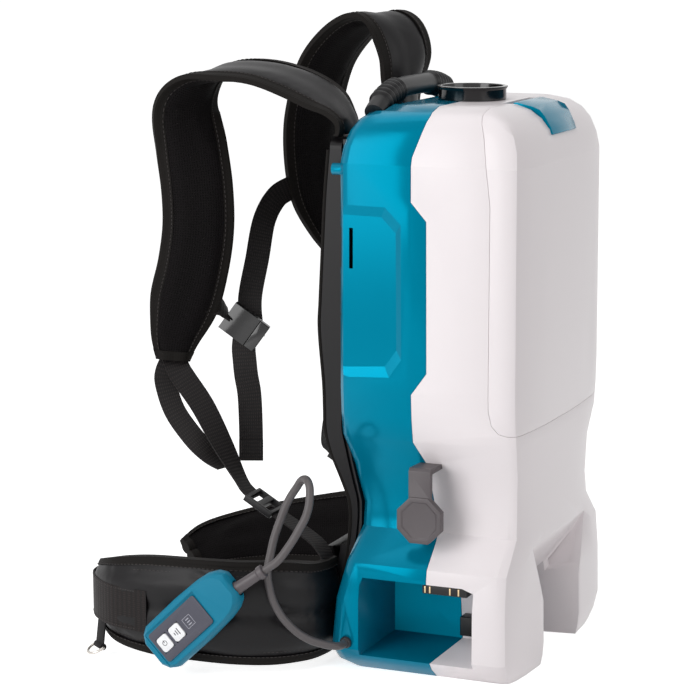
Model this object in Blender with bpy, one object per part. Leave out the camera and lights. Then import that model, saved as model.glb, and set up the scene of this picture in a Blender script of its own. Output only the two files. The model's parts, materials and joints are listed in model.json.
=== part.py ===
# Cordless backpack vacuum cleaner: two moulded casings and a hinged dust lid on
# two battery feet, a fan unit and filters inside, and a padded carrying harness
# with a wired remote. Metres, +Z up. The lid faces -Y and the wearer stands at +Y.
import math

import bmesh
import bpy
from mathutils import Matrix, Vector

MM = 0.001
GAP = 0.3 * MM  # between pieces that touch

# The casing's place from the origin, which is under the middle of the whole.
CASING_X = 12.85 * MM
CASING_Y = -146.55 * MM

# Casing: half widths, front and back faces, and the heights where the shape turns.
WALL = 3 * MM
HALF_WIDTH = 136 * MM
FRONT = -96 * MM
BACK = 94 * MM
CROWN = 3 * MM
TOP = 562 * MM
SHOULDER_Z = 507 * MM
HIP_Z = 285 * MM
WAIST_HALF = 114 * MM
WAIST_BACK = 77 * MM
WAIST_TOP = 205 * MM
WAIST_LOW = 165 * MM
LEDGE_Z = 142 * MM
FOOT_HALF = 156 * MM
FOOT_TOP = 112 * MM
FOOT_LOW = 24 * MM
FOOT_GAP_HALF = 53 * MM
ARCH_TOP = 78 * MM
ARCH_SIDE = 66 * MM
ARCH_FRONT_TOP = 136 * MM
ARCH_FRONT_HALF = 92 * MM
CHAMFER_X = 36 * MM
CHAMFER_Y = 9 * MM
CORNER = 12 * MM

# Battery bays, open at the outer sides.
BAY_BACK = 63 * MM
BAY_FRONT = -57 * MM
BAY_FLOOR = 18 * MM
BAY_ROOF = 98 * MM
BAY_END = FOOT_GAP_HALF + WALL + 1 * MM
DRAIN_OUTER = 112 * MM
DRAIN_BACK = 22 * MM
DRAIN_TOP = 13 * MM

# Lid and its seam with the middle housing.
LID_BOTTOM = 248 * MM
LID_SIDE_Y = -64 * MM
LID_TOP_Y = -47 * MM
LID_TAB_WIDTH = 24 * MM
LID_TAB_DROP = 7 * MM
LID_TAB_X = 70 * MM
LID_HINGE_Y = FRONT - CROWN
SEAM = 0.5 * MM

# Latch over the lid's top edge.
LATCH_HALF = 40 * MM
LATCH_BACK = -50 * MM
LATCH_LOW = 533 * MM
LATCH_THICK = 3 * MM
LATCH_PROUD = 1.2 * MM
LATCH_REACH = 1.5 * MM
LATCH_PIN_R = 1.6 * MM
LATCH_PIN_Y = -56 * MM
LATCH_PIN_Z = TOP - 7.5 * MM
LATCH_BOSS = 6 * MM
LATCH_HUB = 4 * MM
NOTCH_HALF = 30 * MM
NOTCH_LOW = 514 * MM

# Hose inlet.
INLET_Y = 4 * MM
INLET_R = 35 * MM
INLET_BORE = 27 * MM
INLET_NECK = 30.5 * MM
INLET_HIGH = 14 * MM
INLET_DEPTH = 9 * MM

# Dust chamber, bag and filter.
LINER_HALF = 115 * MM
LINER_BACK = 38 * MM
LINER_FRONT = -62 * MM
LINER_TOP = 535 * MM
LINER_FLOOR = 256 * MM
LINER_WALL = 2 * MM
GASKET = 4 * MM
BAG_COLLAR_HALF = 46 * MM
COLLAR_THICK = 3 * MM
FILTER_HALF = 84 * MM
FILTER_HIGH = 14 * MM
FILTER_RIM = 5 * MM
PLEATS = 14
PLEAT_THICK = 1.2 * MM

# Fan unit in the waist.
FAN_Y = -8 * MM
FAN_R = 60 * MM
FAN_FLOOR = 155 * MM
FAN_TOP = 224 * MM
FAN_WALL = 3 * MM
IMPELLER_R = 46 * MM
IMPELLER_HIGH = 16 * MM
IMPELLER_BLADES = 7
SHAFT_R = 4 * MM
BEARING_R = 11 * MM
BEARING_HIGH = 7 * MM
SHAFT_FIT = 0.06 * MM
MOTOR_R = 30 * MM
MOTOR_HIGH = 36 * MM
FAN_EYE = 24 * MM
MOUNT_HIGH = 7 * MM
TRAY_THICK = 4 * MM

# Control board and battery terminals.
BOARD_HALF = 55 * MM
BOARD_LOW = 300 * MM
BOARD_HIGH = 100 * MM
BOARD_STAND = 26 * MM
TERMINAL_BLADES = 5
CATCH_Y = -22 * MM
CATCH_Z = 35 * MM

# Hose hook on the wearer's left of the waist.
HOOK_HALF = 11.5 * MM
HOOK_TOP = 214 * MM
HOOK_REACH = 152 * MM
HOOK_PLATE = 6 * MM
HOOK_HEAD_R = 23 * MM
HOOK_HEAD_Z = 162 * MM

# Slots in the side recess, and how deep the recess is.
SLOTS = 2
SLOT_Y = 78 * MM
SLOT_PITCH = 12.5 * MM
SLOT_WIDE = 4 * MM
SLOT_LOW = 404 * MM
SLOT_LONG = 40 * MM
RECESS = 2.2 * MM

# Carry handle across the top.
HANDLE_Y = 66 * MM
HANDLE_HALF = 108 * MM
HANDLE_Z = 554 * MM
HANDLE_RISE = 21 * MM
HANDLE_R = 10.5 * MM
RIB_R = 12.5 * MM
RIB_PITCH = 9 * MM
RIB_COUNT = 6
RIB_MARGIN = 8 * MM
GRIP_FLOOR = 547 * MM
GRIP_REACH = 16 * MM

# Harness pegs on the rear housing's upper corners.
PEG_INSET = 12 * MM
PEG_Z = 500 * MM
PEG_R = 6 * MM
PEG_LONG = 9 * MM

# Back plate and pads.
PLATE_HALF = 112 * MM
PLATE_TOP = 528 * MM
PLATE_LOW = 6 * MM
PLATE_THICK = 3.5 * MM
PAD_HALF = 115 * MM
PAD_TOP = 530 * MM
PAD_LOW = 8 * MM
PAD_CROWN = 4 * MM
PAD_DIP = 3 * MM
PIPING = 1.5 * MM
LUMBAR_HALF = 92 * MM
LUMBAR_LOW = 26 * MM
LUMBAR_HIGH = 110 * MM
LUMBAR_THICK = 16 * MM
LUMBAR_SEAT = 112 * MM

# Shoulder straps and webbing.
STRAP_HALF = 36 * MM
STRAP_THICK = 13 * MM
STRAP_X = 78 * MM
STRAP_Y = 106 * MM
WEB_HALF = 12.5 * MM
WEB_THICK = 1.6 * MM
LOCK_HALF = 17 * MM
LOCK_LONG = 34 * MM
LOCK_THICK = 7 * MM
BUCKLE_HALF = 16 * MM
BUCKLE_LONG = 44 * MM
BUCKLE_THICK = 9 * MM
BUCKLE_BASE = 12 * MM

CHEST_LEFT_Z = 352 * MM
CHEST_RIGHT_Z = 456 * MM

# Hip belt.
WING_THICK = 18 * MM
WING_TOP = 106.6 * MM
BELT_WEB_LOW = 38 * MM
BELT_WEB_HIGH = 81 * MM
TAB_HALF = 8 * MM
RING_HALF = 10 * MM
RING_LONG = 14 * MM
RING_WIRE = 1.6 * MM
RING_DROOP = math.radians(25)

# Remote, its buttons and its cord.
REMOTE_LONG = 118 * MM
REMOTE_HALF = 27 * MM
REMOTE_THICK = 22 * MM
REMOTE_X = -238.5 * MM
REMOTE_Y = 203 * MM
REMOTE_Z = 64 * MM
REMOTE_TILT = math.radians(44)
PANEL_HALF = 19.2 * MM
PANEL_LOW = -50 * MM
PANEL_HIGH = 23 * MM
PANEL_SINK = 1 * MM
BUTTON_TRAVEL = 1 * MM
BUTTON_LONG = 14 * MM
BUTTON_HALF = 8 * MM
BUTTON_PROUD = 1 * MM
BUTTON_DEEP = 3 * MM
BUTTON_GAP = 0.4 * MM
POWER_AT = -37 * MM
MODE_AT = -19 * MM
CORD_R = 4 * MM
RELIEF_R = 7 * MM
RELIEF_LONG = 54 * MM
GROMMET_Y = 76 * MM
GROMMET_Z = 31 * MM
GROMMET_R = 6 * MM
GROMMET_NECK = 4.6 * MM
GROMMET_HEAD = 4 * MM

SIDES = ((-1, "left"), (1, "right"))
ALONG_X = Matrix(((0, 0, 1), (1, 0, 0), (0, 1, 0)))
ALONG_Y = Matrix(((1, 0, 0), (0, 0, -1), (0, 1, 0)))


# ---------------------------------------------------------------- materials


def material(name, colour, roughness=0.5, metallic=0.0):
    made = bpy.data.materials.get(name)
    if made:
        return made
    made = bpy.data.materials.new(name)
    made.use_nodes = True
    shader = made.node_tree.nodes["Principled BSDF"]
    shader.inputs["Base Color"].default_value = (*colour, 1)
    shader.inputs["Roughness"].default_value = roughness
    shader.inputs["Metallic"].default_value = metallic
    made.diffuse_color = (*colour, 1)
    return made


def teal_plastic():
    return material("teal_plastic", (0.0, 0.38, 0.54), 0.25)


def white_plastic():
    return material("white_plastic", (0.84, 0.79, 0.8), 0.3)


def black_plastic():
    return material("black_plastic", (0.02, 0.02, 0.022), 0.35)


def grey_plastic():
    return material("grey_plastic", (0.07, 0.06, 0.065), 0.45)


def rubber():
    return material("black_rubber", (0.025, 0.025, 0.027), 0.7)


def steel():
    return material("steel", (0.6, 0.6, 0.6), 0.3, 1.0)


def nylon():
    return material("black_nylon", (0.02, 0.018, 0.022), 0.55)


def mesh_cloth():
    return material("black_mesh", (0.015, 0.013, 0.015), 0.8)


def webbing():
    return material("black_webbing", (0.018, 0.016, 0.018), 0.75)


def filter_cloth():
    return material("filter_cloth", (0.75, 0.73, 0.68), 0.9)


def board_green():
    return material("board_green", (0.03, 0.2, 0.08), 0.5)


def button_white():
    return material("button_white", (0.8, 0.8, 0.8), 0.5)


# ---------------------------------------------------------------- modelling


def clear_scene():
    for old in list(bpy.data.objects):
        bpy.data.objects.remove(old)


def add_object(name, verts, faces, finish=None, smooth=None):
    """An object from points and faces, in the casing's frame."""
    mesh = bpy.data.meshes.new(name)
    mesh.from_pydata([tuple(v) for v in verts], [], faces)
    shape = bmesh.new()
    shape.from_mesh(mesh)
    bmesh.ops.recalc_face_normals(shape, faces=shape.faces)
    shape.to_mesh(mesh)
    shape.free()
    if finish:
        mesh.materials.append(finish)
    if smooth:
        mesh.shade_smooth()
        mesh.set_sharp_from_angle(angle=math.radians(smooth))
    made = bpy.data.objects.new(name, mesh)
    bpy.context.collection.objects.link(made)
    made.parent = bpy.data.objects["unit"]
    return made


def hide(cutter):
    cutter.hide_render = True
    cutter.display_type = "WIRE"
    return cutter


def boolean(target, cutter, operation="DIFFERENCE"):
    step = target.modifiers.new(cutter.name, "BOOLEAN")
    step.object = hide(cutter)
    step.operation = operation
    return target


def loft(name, rings, finish=None, smooth=None):
    """A closed skin over rings of equal point count, capped at both ends."""
    count = len(rings[0])
    verts = [p for ring in rings for p in ring]
    faces = [
        (r * count + i, r * count + (i + 1) % count,
         (r + 1) * count + (i + 1) % count, (r + 1) * count + i)
        for r in range(len(rings) - 1)
        for i in range(count)
    ]
    faces.append(tuple(range(count))[::-1])
    faces.append(tuple(range(len(verts) - count, len(verts))))
    return add_object(name, verts, faces, finish, smooth)


def prism(name, outline, axis, low, high, finish=None):
    """An outline in the plane square to an axis, run from low to high along it."""
    place = {
        "X": lambda a, b, c: (c, a, b),
        "Y": lambda a, b, c: (a, c, b),
        "Z": lambda a, b, c: (a, b, c),
    }[axis]
    rings = [[place(a, b, level) for a, b in outline] for level in (low, high)]
    return loft(name, rings, finish)


def box(name, low, high, finish=None):
    outline = [(low[0], low[1]), (high[0], low[1]), (high[0], high[1]), (low[0], high[1])]
    return prism(name, outline, "Z", low[2], high[2], finish)


def turned(name, profile, centre, steps=32, finish=None, frame=None):
    """A closed profile of (radius, height) turned about an axis through the centre."""
    rings = []
    for i in range(steps):
        turn = 2 * math.pi * i / steps
        ring = [Vector((r * math.cos(turn), r * math.sin(turn), h)) for r, h in profile]
        rings.append([(frame @ p if frame else p) + Vector(centre) for p in ring])
    count = len(profile)
    verts = [p for ring in rings for p in ring]
    faces = [
        (r * count + i, r * count + (i + 1) % count,
         (r + 1) % steps * count + (i + 1) % count, (r + 1) % steps * count + i)
        for r in range(steps)
        for i in range(count)
    ]
    return add_object(name, verts, faces, finish, 35)


def disc(name, centre, radius, low, high, steps=32, finish=None, frame=None):
    """A solid round bar from low to high along its axis through the centre."""
    rings = []
    for level in (low, high):
        ring = []
        for i in range(steps):
            turn = 2 * math.pi * i / steps
            point = Vector((radius * math.cos(turn), radius * math.sin(turn), level))
            ring.append((frame @ point if frame else point) + Vector(centre))
        rings.append(ring)
    return loft(name, rings, finish, 35)


def smooth_path(points, steps, start=None, end=None):
    """Points along one smooth curve through the given points, which may carry extra values.

    The curve comes from start and goes on to end, where they are given."""
    path = []
    whole = [start or points[0], *points, end or points[-1]]
    for i in range(len(points) - 1):
        before, here, there, after = whole[i:i + 4]
        for step in range(steps):
            t = step / steps
            path.append([
                0.5 * (2 * b + (c - a) * t + (2 * a - 5 * b + 4 * c - d) * t * t
                       + (3 * b - a - 3 * c + d) * t ** 3)
                for a, b, c, d in zip(before, here, there, after)
            ])
    path.append(list(points[-1]))
    return path


def in_mm(points):
    return [[value * MM for value in point] for point in points]


def set_origin(part, point):
    """Puts a part's origin on its joint's axis and leaves its shape where it is."""
    part.data.transform(Matrix.Translation(-Vector(point)))
    part.location = point
    return part


# ---------------------------------------------------------------- casing


def casing_levels():
    """Height, half width, front and back of the outer shape, from the feet up."""
    return [
        (0, FOOT_HALF - 23 * MM, FRONT + 3 * MM, BACK - 14 * MM),
        (10 * MM, FOOT_HALF - 10 * MM, FRONT + 1 * MM, BACK - 2 * MM),
        (FOOT_LOW, FOOT_HALF, FRONT, BACK + 1 * MM),
        (75 * MM, FOOT_HALF, FRONT + 1 * MM, BACK - 4 * MM),
        (FOOT_TOP, FOOT_HALF - 6 * MM, FRONT + 2 * MM, BACK - 13 * MM),
        (LEDGE_Z, WAIST_HALF + 3 * MM, FRONT + 3 * MM, WAIST_BACK),
        (WAIST_LOW, WAIST_HALF, FRONT + 4 * MM, WAIST_BACK),
        (WAIST_TOP, WAIST_HALF + 3 * MM, FRONT + 3 * MM, BACK - 7 * MM),
        (236 * MM, HALF_WIDTH - 6 * MM, FRONT, BACK),
        (258 * MM, HALF_WIDTH - 2 * MM, FRONT, BACK),
        (HIP_Z, HALF_WIDTH, FRONT, BACK),
        (SHOULDER_Z, HALF_WIDTH, FRONT + 1 * MM, BACK),
        (523 * MM, HALF_WIDTH - 5 * MM, FRONT + 3 * MM, BACK - 1 * MM),
        (538 * MM, HALF_WIDTH - 10 * MM, FRONT + 8 * MM, BACK - 6 * MM),
        (549 * MM, HALF_WIDTH - 15 * MM, FRONT + 16 * MM, BACK - 14 * MM),
        (557 * MM, HALF_WIDTH - 24 * MM, FRONT + 27 * MM, BACK - 25 * MM),
        (TOP, HALF_WIDTH - 42 * MM, FRONT + 42 * MM, BACK - 38 * MM),
    ]


def casing_ring(level, inset):
    """One outline of the casing: crowned front, long front corners, round back corners."""
    z, half, front, back = level
    half, front, back = half - inset, front + inset, back - inset
    side = [
        (half * 0.42, front - CROWN * 0.8),
        (half - CHAMFER_X, front),
        (half - CHAMFER_X * 0.42, front + CHAMFER_Y * 0.3),
        (half - CHAMFER_X * 0.12, front + CHAMFER_Y * 0.62),
        (half, front + CHAMFER_Y * 1.5),
        (half, (front + back) / 2),
        (half, back - CORNER),
        (half - CORNER * 0.13, back - CORNER * 0.5),
        (half - CORNER * 0.5, back - CORNER * 0.13),
        (half - CORNER, back),
        (half * 0.45, back),
    ]
    right = [(0, front - CROWN)] + side + [(0, back)]
    left = [(-x, y) for x, y in side[::-1]]
    return [(x, y, z) for x, y in right + left]


def casing_solid(name, inset=0.0, finish=None):
    rings = []
    for level in casing_levels():
        z = level[0]
        if z == 0:
            z = inset
        elif z > SHOULDER_Z:
            z -= inset
        rings.append(casing_ring((z, *level[1:]), inset))
    return loft(name, rings, finish, 24)


def arch_cutter(name, grow=0.0):
    """The gap between the two feet, which widens upwards where it meets the front face."""
    def outline(half, side, top_half, top):
        return [(-half, -5 * MM), (-half, side), (-top_half, top),
                (top_half, top), (half, side), (half, -5 * MM)]

    half = FOOT_GAP_HALF + grow
    flared = outline(half + 5 * MM, ARCH_SIDE, ARCH_FRONT_HALF + grow, ARCH_FRONT_TOP + grow)
    inner = outline(half, ARCH_SIDE + grow, FOOT_GAP_HALF * 0.9 + grow, ARCH_TOP + grow)
    rings = [
        [(x, y, z) for x, z in shape]
        for y, shape in [(FRONT - 4 * MM, flared), (FRONT + 34 * MM + grow, inner),
                         (BACK + 10 * MM, inner)]
    ]
    return loft(name, rings)


def bay_cutter(name, side, grow=0.0):
    outline = [
        (BAY_FRONT - grow, BAY_FLOOR - grow), (BAY_FRONT - grow, BAY_ROOF - 4 * MM),
        (BAY_FRONT + 12 * MM, BAY_ROOF + grow), (BAY_BACK - 3 * MM, BAY_ROOF + grow),
        (BAY_BACK + grow, BAY_ROOF - 8 * MM), (BAY_BACK + grow, BAY_FLOOR - grow),
    ]
    inner = BAY_END - grow
    ends = sorted([side * inner, side * (FOOT_HALF + 10 * MM)])
    return prism(name, outline, "X", ends[0], ends[1])


def seam_points():
    """The lid's seam in side view, from the top down and forward to the front face."""
    side, top = LID_SIDE_Y, LID_TOP_Y
    return [
        (top, TOP + 10 * MM), (top - 1 * MM, TOP - 8 * MM), (top - 7 * MM, TOP - 26 * MM),
        (side + 4 * MM, TOP - 56 * MM), (side, TOP - 90 * MM), (side, LID_BOTTOM + 24 * MM),
        (side - 3 * MM, LID_BOTTOM + 10 * MM), (side - 10 * MM, LID_BOTTOM + 2 * MM),
        (side - 20 * MM, LID_BOTTOM), (FRONT - 20 * MM, LID_BOTTOM),
    ]


def lid_region(name, grow=0.0):
    """Everything in front of the seam; grow moves the seam back and down."""
    seam = [(y + grow, z) for y, z in seam_points()[:6]]
    low = [(y + grow * 0.7, z - grow * 0.7) for y, z in seam_points()[6:8]]
    end = [(y, z - grow) for y, z in seam_points()[8:]]
    outline = seam + low + end + [(FRONT - 20 * MM, TOP + 10 * MM)]
    return prism(name, outline, "X", -HALF_WIDTH - 10 * MM, HALF_WIDTH + 10 * MM)


def split_points():
    """The seam between the white middle housing and the teal rear housing, in side view."""
    return in_mm([
        (-12, -10), (-12, 0), (-9, 60), (-7, 101), (-7, 135), (5, 211), (16, 234), (16, 283),
        (0, 305), (1, 454), (17, 472), (17, 515), (5, 554), (2, 580),
    ])


def rear_region(name):
    outline = split_points() + in_mm([(120, 580), (120, -10)])
    return prism(name, outline, "X", -170 * MM, 170 * MM)


def front_region(name):
    outline = [(y - SEAM, z) for y, z in split_points()] + in_mm([(-120, 580), (-120, -10)])
    return prism(name, outline, "X", -170 * MM, 170 * MM)


def grip_room(name, grow=0.0):
    """The finger room under the carry handle, open to the back and the top."""
    half = HANDLE_HALF - 28 * MM + grow
    low = GRIP_FLOOR - grow
    outline = [(-half - 14 * MM, TOP + 15 * MM), (-half, low + 8 * MM), (-half + 12 * MM, low),
               (half - 12 * MM, low), (half, low + 8 * MM), (half + 14 * MM, TOP + 15 * MM)]
    return prism(name, outline, "Y", HANDLE_Y - GRIP_REACH - grow, BACK + 10 * MM)


def ring_at(z, inset):
    """The casing's outline at any height, between its levels."""
    levels = casing_levels()
    for low, high in zip(levels, levels[1:]):
        if low[0] <= z <= high[0]:
            t = (z - low[0]) / (high[0] - low[0])
            return casing_ring([a + (b - a) * t for a, b in zip(low, high)], inset)
    return casing_ring(levels[-1], inset)


def back_at(z):
    """How far back the casing reaches at a height."""
    return max(y for x, y, _ in ring_at(z, 0))


def side_at(z):
    """How far sideways the casing reaches at a height."""
    return max(x for x, y, _ in ring_at(z, 0))


def cut_casing(casing, tag):
    """The arch, the bays, the drains and the hollow inside, cut from a casing solid."""
    boolean(casing, arch_cutter(f"arch_{tag}"))
    hollow = casing_solid(f"hollow_{tag}", WALL)
    boolean(hollow, arch_cutter(f"arch_wall_{tag}", WALL))
    boolean(hollow, grip_room(f"grip_wall_{tag}", WALL))
    boolean(hollow, handle_solid(f"socket_wall_{tag}", WALL + GAP))
    for side, word in SIDES:
        boolean(hollow, bay_cutter(f"bay_wall_{word}_{tag}", side, WALL))
    boolean(casing, hollow)
    boolean(casing, grip_room(f"grip_room_{tag}"))
    boolean(casing, handle_solid(f"socket_{tag}", GAP))
    for side, word in SIDES:
        boolean(casing, bay_cutter(f"bay_{word}_{tag}", side))
        ends = sorted([side * DRAIN_OUTER, side * (FOOT_GAP_HALF - 5 * MM)])
        drain = box(f"drain_{word}_{tag}", (ends[0], BAY_FRONT + 1 * MM, -5 * MM),
                    (ends[1], DRAIN_BACK, DRAIN_TOP))
        boolean(casing, drain)
    bore = disc(f"inlet_hole_{tag}", (0, INLET_Y, 0), INLET_NECK + GAP, TOP - 20 * MM,
                TOP + 5 * MM)
    boolean(casing, bore)


def side_recess(name, side):
    """The shallow panel in the rear housing's side, with sloping walls."""
    deep = in_mm([(99, 464), (45, 463), (30, 448), (29, 319), (41, 302), (99, 298)])
    wide = in_mm([(99, 470), (42, 469), (24, 451), (23, 315), (37, 295), (99, 292)])
    rings = [
        [(side * x, y, z) for y, z in shape]
        for x, shape in [(HALF_WIDTH - RECESS, deep), (HALF_WIDTH + RECESS, wide)]
    ]
    return loft(name, rings)


def make_rear_housing():
    rear = casing_solid("rear_housing", 0, teal_plastic())
    cut_casing(rear, "rear")
    boolean(rear, rear_region("rear_region"), "INTERSECT")
    for side, word in SIDES:
        boolean(rear, side_recess(f"recess_{word}", side))
        ends = sorted([side * (HALF_WIDTH - 12 * MM), side * (HALF_WIDTH + 5 * MM)])
        for row in range(SLOTS):
            low = SLOT_Y + row * SLOT_PITCH
            slot = box(f"slot_{word}_{row}", (ends[0], low, SLOT_LOW),
                       (ends[1], low + SLOT_WIDE, SLOT_LOW + SLOT_LONG))
            boolean(rear, slot)
        peg = disc(f"peg_{word}", (side * (HALF_WIDTH - PEG_INSET), 0, PEG_Z), PEG_R, -BACK - PEG_LONG,
                   -BACK + WALL / 2, 16, None, ALONG_Y)
        boolean(rear, peg, "UNION")
    boolean(rear, disc("grommet_hole", (0, GROMMET_Y, GROMMET_Z), GROMMET_NECK + GAP,
                       -FOOT_HALF - 5 * MM, -FOOT_HALF + 2 * WALL, 16, None, ALONG_X))


def make_middle_housing():
    middle = casing_solid("middle_housing", 0, white_plastic())
    cut_casing(middle, "middle")
    boolean(middle, front_region("front_region"), "INTERSECT")
    boolean(middle, lid_region("lid_opening"))
    catch = box("catch_slot", (-LATCH_HALF - SEAM, LID_TOP_Y - 1 * MM, TOP - 14 * MM),
                (LATCH_HALF + SEAM, LID_TOP_Y + 5 * MM, TOP + 5 * MM))
    boolean(middle, catch)


def latch_region(name, grow=0.0):
    """Where the latch lies over the lid's top edge, narrower at its front lip."""
    half = LATCH_HALF + grow
    back = LID_TOP_Y + 2 * MM if grow else LATCH_BACK + LATCH_REACH
    outline = [(-half, back), (-half, -78 * MM), (-half + 5 * MM, FRONT - 9 * MM),
               (half - 5 * MM, FRONT - 9 * MM), (half, -78 * MM), (half, back)]
    return prism(name, outline, "Z", LATCH_LOW - grow, TOP + 12 * MM)


def make_lid():
    lid = casing_solid("lid", 0, white_plastic())
    boolean(lid, casing_solid("hollow_lid", WALL))
    boolean(lid, lid_region("lid_side", -SEAM), "INTERSECT")
    boolean(lid, latch_region("latch_opening", SEAM))
    for side, word in SIDES:
        near = side * (LATCH_HALF + SEAM + GAP)
        ends = sorted([near, near + side * 8 * MM])
        boss = box(f"latch_boss_{word}", (ends[0], LATCH_PIN_Y - LATCH_BOSS,
                                          LATCH_PIN_Z - LATCH_BOSS),
                   (ends[1], LATCH_PIN_Y + LATCH_BOSS, TOP + LATCH_BOSS))
        boolean(boss, casing_solid(f"boss_skin_{word}", WALL / 4), "INTERSECT")
        boolean(lid, boss, "UNION")
        low = side * LID_TAB_X
        tab = prism(f"lid_tab_{word}", [
            (FRONT + 1.5 * MM, LID_BOTTOM + 8 * MM), (FRONT + WALL + 2.5 * MM, LID_BOTTOM + 8 * MM),
            (FRONT + WALL + 2.5 * MM, LID_BOTTOM - LID_TAB_DROP),
            (FRONT + WALL + 0.5 * MM, LID_BOTTOM - LID_TAB_DROP),
            (FRONT + WALL + 0.5 * MM, LID_BOTTOM + 3 * MM), (FRONT + 1.5 * MM, LID_BOTTOM + 3 * MM),
        ], "X", low - LID_TAB_WIDTH / 2, low + LID_TAB_WIDTH / 2)
        boolean(lid, tab, "UNION")
    bore = disc("latch_pin_bore", (0, LATCH_PIN_Y, LATCH_PIN_Z), LATCH_PIN_R + 0.1 * MM,
                -60 * MM, 60 * MM, 16, None, ALONG_X)
    boolean(lid, bore)
    notch = loft("finger_notch", [
        [(-NOTCH_HALF, FRONT - 8 * MM, LATCH_LOW + 1 * MM), (NOTCH_HALF, FRONT - 8 * MM, LATCH_LOW + 1 * MM),
         (NOTCH_HALF - 6 * MM, FRONT - 8 * MM, NOTCH_LOW), (-NOTCH_HALF + 6 * MM, FRONT - 8 * MM, NOTCH_LOW)],
        [(-NOTCH_HALF, FRONT + 1.2 * MM, LATCH_LOW + 1 * MM), (NOTCH_HALF, FRONT + 1.2 * MM, LATCH_LOW + 1 * MM),
         (NOTCH_HALF - 8 * MM, FRONT - 1.2 * MM, NOTCH_LOW + 5 * MM),
         (-NOTCH_HALF + 8 * MM, FRONT - 1.2 * MM, NOTCH_LOW + 5 * MM)],
    ])
    boolean(lid, notch)
    set_origin(lid, (0, LID_HINGE_Y, LID_BOTTOM))


def make_latch():
    latch = casing_solid("lid_latch", -LATCH_PROUD, teal_plastic())
    boolean(latch, casing_solid("latch_under", LATCH_THICK - LATCH_PROUD))
    boolean(latch, latch_region("latch_shape"), "INTERSECT")
    hub = box("latch_hub", (-LATCH_HALF + 2 * MM, LATCH_PIN_Y - LATCH_HUB,
                            LATCH_PIN_Z - LATCH_HUB),
              (LATCH_HALF - 2 * MM, LATCH_PIN_Y + LATCH_HUB, TOP + LATCH_HUB))
    boolean(hub, casing_solid("hub_skin", -LATCH_PROUD / 3), "INTERSECT")
    boolean(latch, hub, "UNION")
    bore = disc("latch_bore", (0, LATCH_PIN_Y, LATCH_PIN_Z), LATCH_PIN_R + 0.1 * MM,
                -60 * MM, 60 * MM, 16, None, ALONG_X)
    boolean(latch, bore)
    set_origin(latch, (0, LATCH_PIN_Y, LATCH_PIN_Z))
    disc("latch_pin", (0, LATCH_PIN_Y, LATCH_PIN_Z), LATCH_PIN_R, -LATCH_HALF - 7 * MM,
         LATCH_HALF + 7 * MM, 16, steel(), ALONG_X)


# ---------------------------------------------------------------- air path


def make_inlet():
    top, neck = TOP + INLET_HIGH, LINER_TOP - LINER_WALL - INLET_DEPTH
    ring = turned("inlet_ring", [
        (INLET_BORE, neck), (INLET_NECK, neck), (INLET_NECK, TOP + GAP), (INLET_R, TOP + GAP),
        (INLET_R + 0.8 * MM, TOP + 4 * MM), (INLET_R, top - 2 * MM), (INLET_R - 2 * MM, top),
        (INLET_BORE + 4 * MM, top), (INLET_BORE + 2 * MM, top - 2 * MM),
        (INLET_BORE, top - 5 * MM),
    ], (0, INLET_Y, 0), 32, black_plastic())
    set_origin(ring, (0, INLET_Y, TOP))
    turned("inlet_seal", [
        (INLET_NECK + GAP, LINER_TOP + GAP), (INLET_NECK + 5 * MM, LINER_TOP + GAP),
        (INLET_NECK + 3 * MM, TOP - WALL - 8 * MM), (INLET_NECK + 5 * MM, TOP - WALL - GAP),
        (INLET_NECK + GAP, TOP - WALL - GAP),
    ], (0, INLET_Y, 0), 32, rubber())


def make_chamber():
    liner = box("chamber_liner", (-LINER_HALF, LINER_FRONT, LINER_FLOOR),
                (LINER_HALF, LINER_BACK, LINER_TOP), black_plastic())
    boolean(liner, box("liner_room", (-LINER_HALF + LINER_WALL, LINER_FRONT - 5 * MM,
                                      LINER_FLOOR + LINER_WALL),
                       (LINER_HALF - LINER_WALL, LINER_BACK - LINER_WALL, LINER_TOP - LINER_WALL)))
    boolean(liner, disc("liner_hole", (0, INLET_Y, 0), INLET_NECK + GAP, LINER_TOP - 10 * MM,
                        LINER_TOP + 5 * MM))
    boolean(liner, box("liner_vent", (-FILTER_HALF, LINER_FRONT + 12 * MM, LINER_FLOOR - 5 * MM),
                       (FILTER_HALF, LINER_BACK - 12 * MM, LINER_FLOOR + 5 * MM)))
    seal = box("lid_gasket", (-LINER_HALF, LINER_FRONT - GAP - GASKET, LINER_FLOOR),
               (LINER_HALF, LINER_FRONT - GAP, LINER_TOP), rubber())
    boolean(seal, box("gasket_room", (-LINER_HALF + GASKET, LINER_FRONT - 20 * MM,
                                      LINER_FLOOR + GASKET),
                      (LINER_HALF - GASKET, LINER_FRONT + 5 * MM, LINER_TOP - GASKET)))
    collar_top = LINER_TOP - LINER_WALL - INLET_DEPTH - GAP
    collar = box("bag_collar", (-BAG_COLLAR_HALF, INLET_Y - 40 * MM, collar_top - COLLAR_THICK),
                 (BAG_COLLAR_HALF, LINER_BACK - LINER_WALL - GAP, collar_top), grey_plastic())
    boolean(collar, disc("collar_hole", (0, INLET_Y, 0), INLET_BORE - 2 * MM,
                         collar_top - 10 * MM, collar_top + 5 * MM))
    bag_top = collar_top - COLLAR_THICK - GAP
    make_bag(bag_top)


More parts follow.
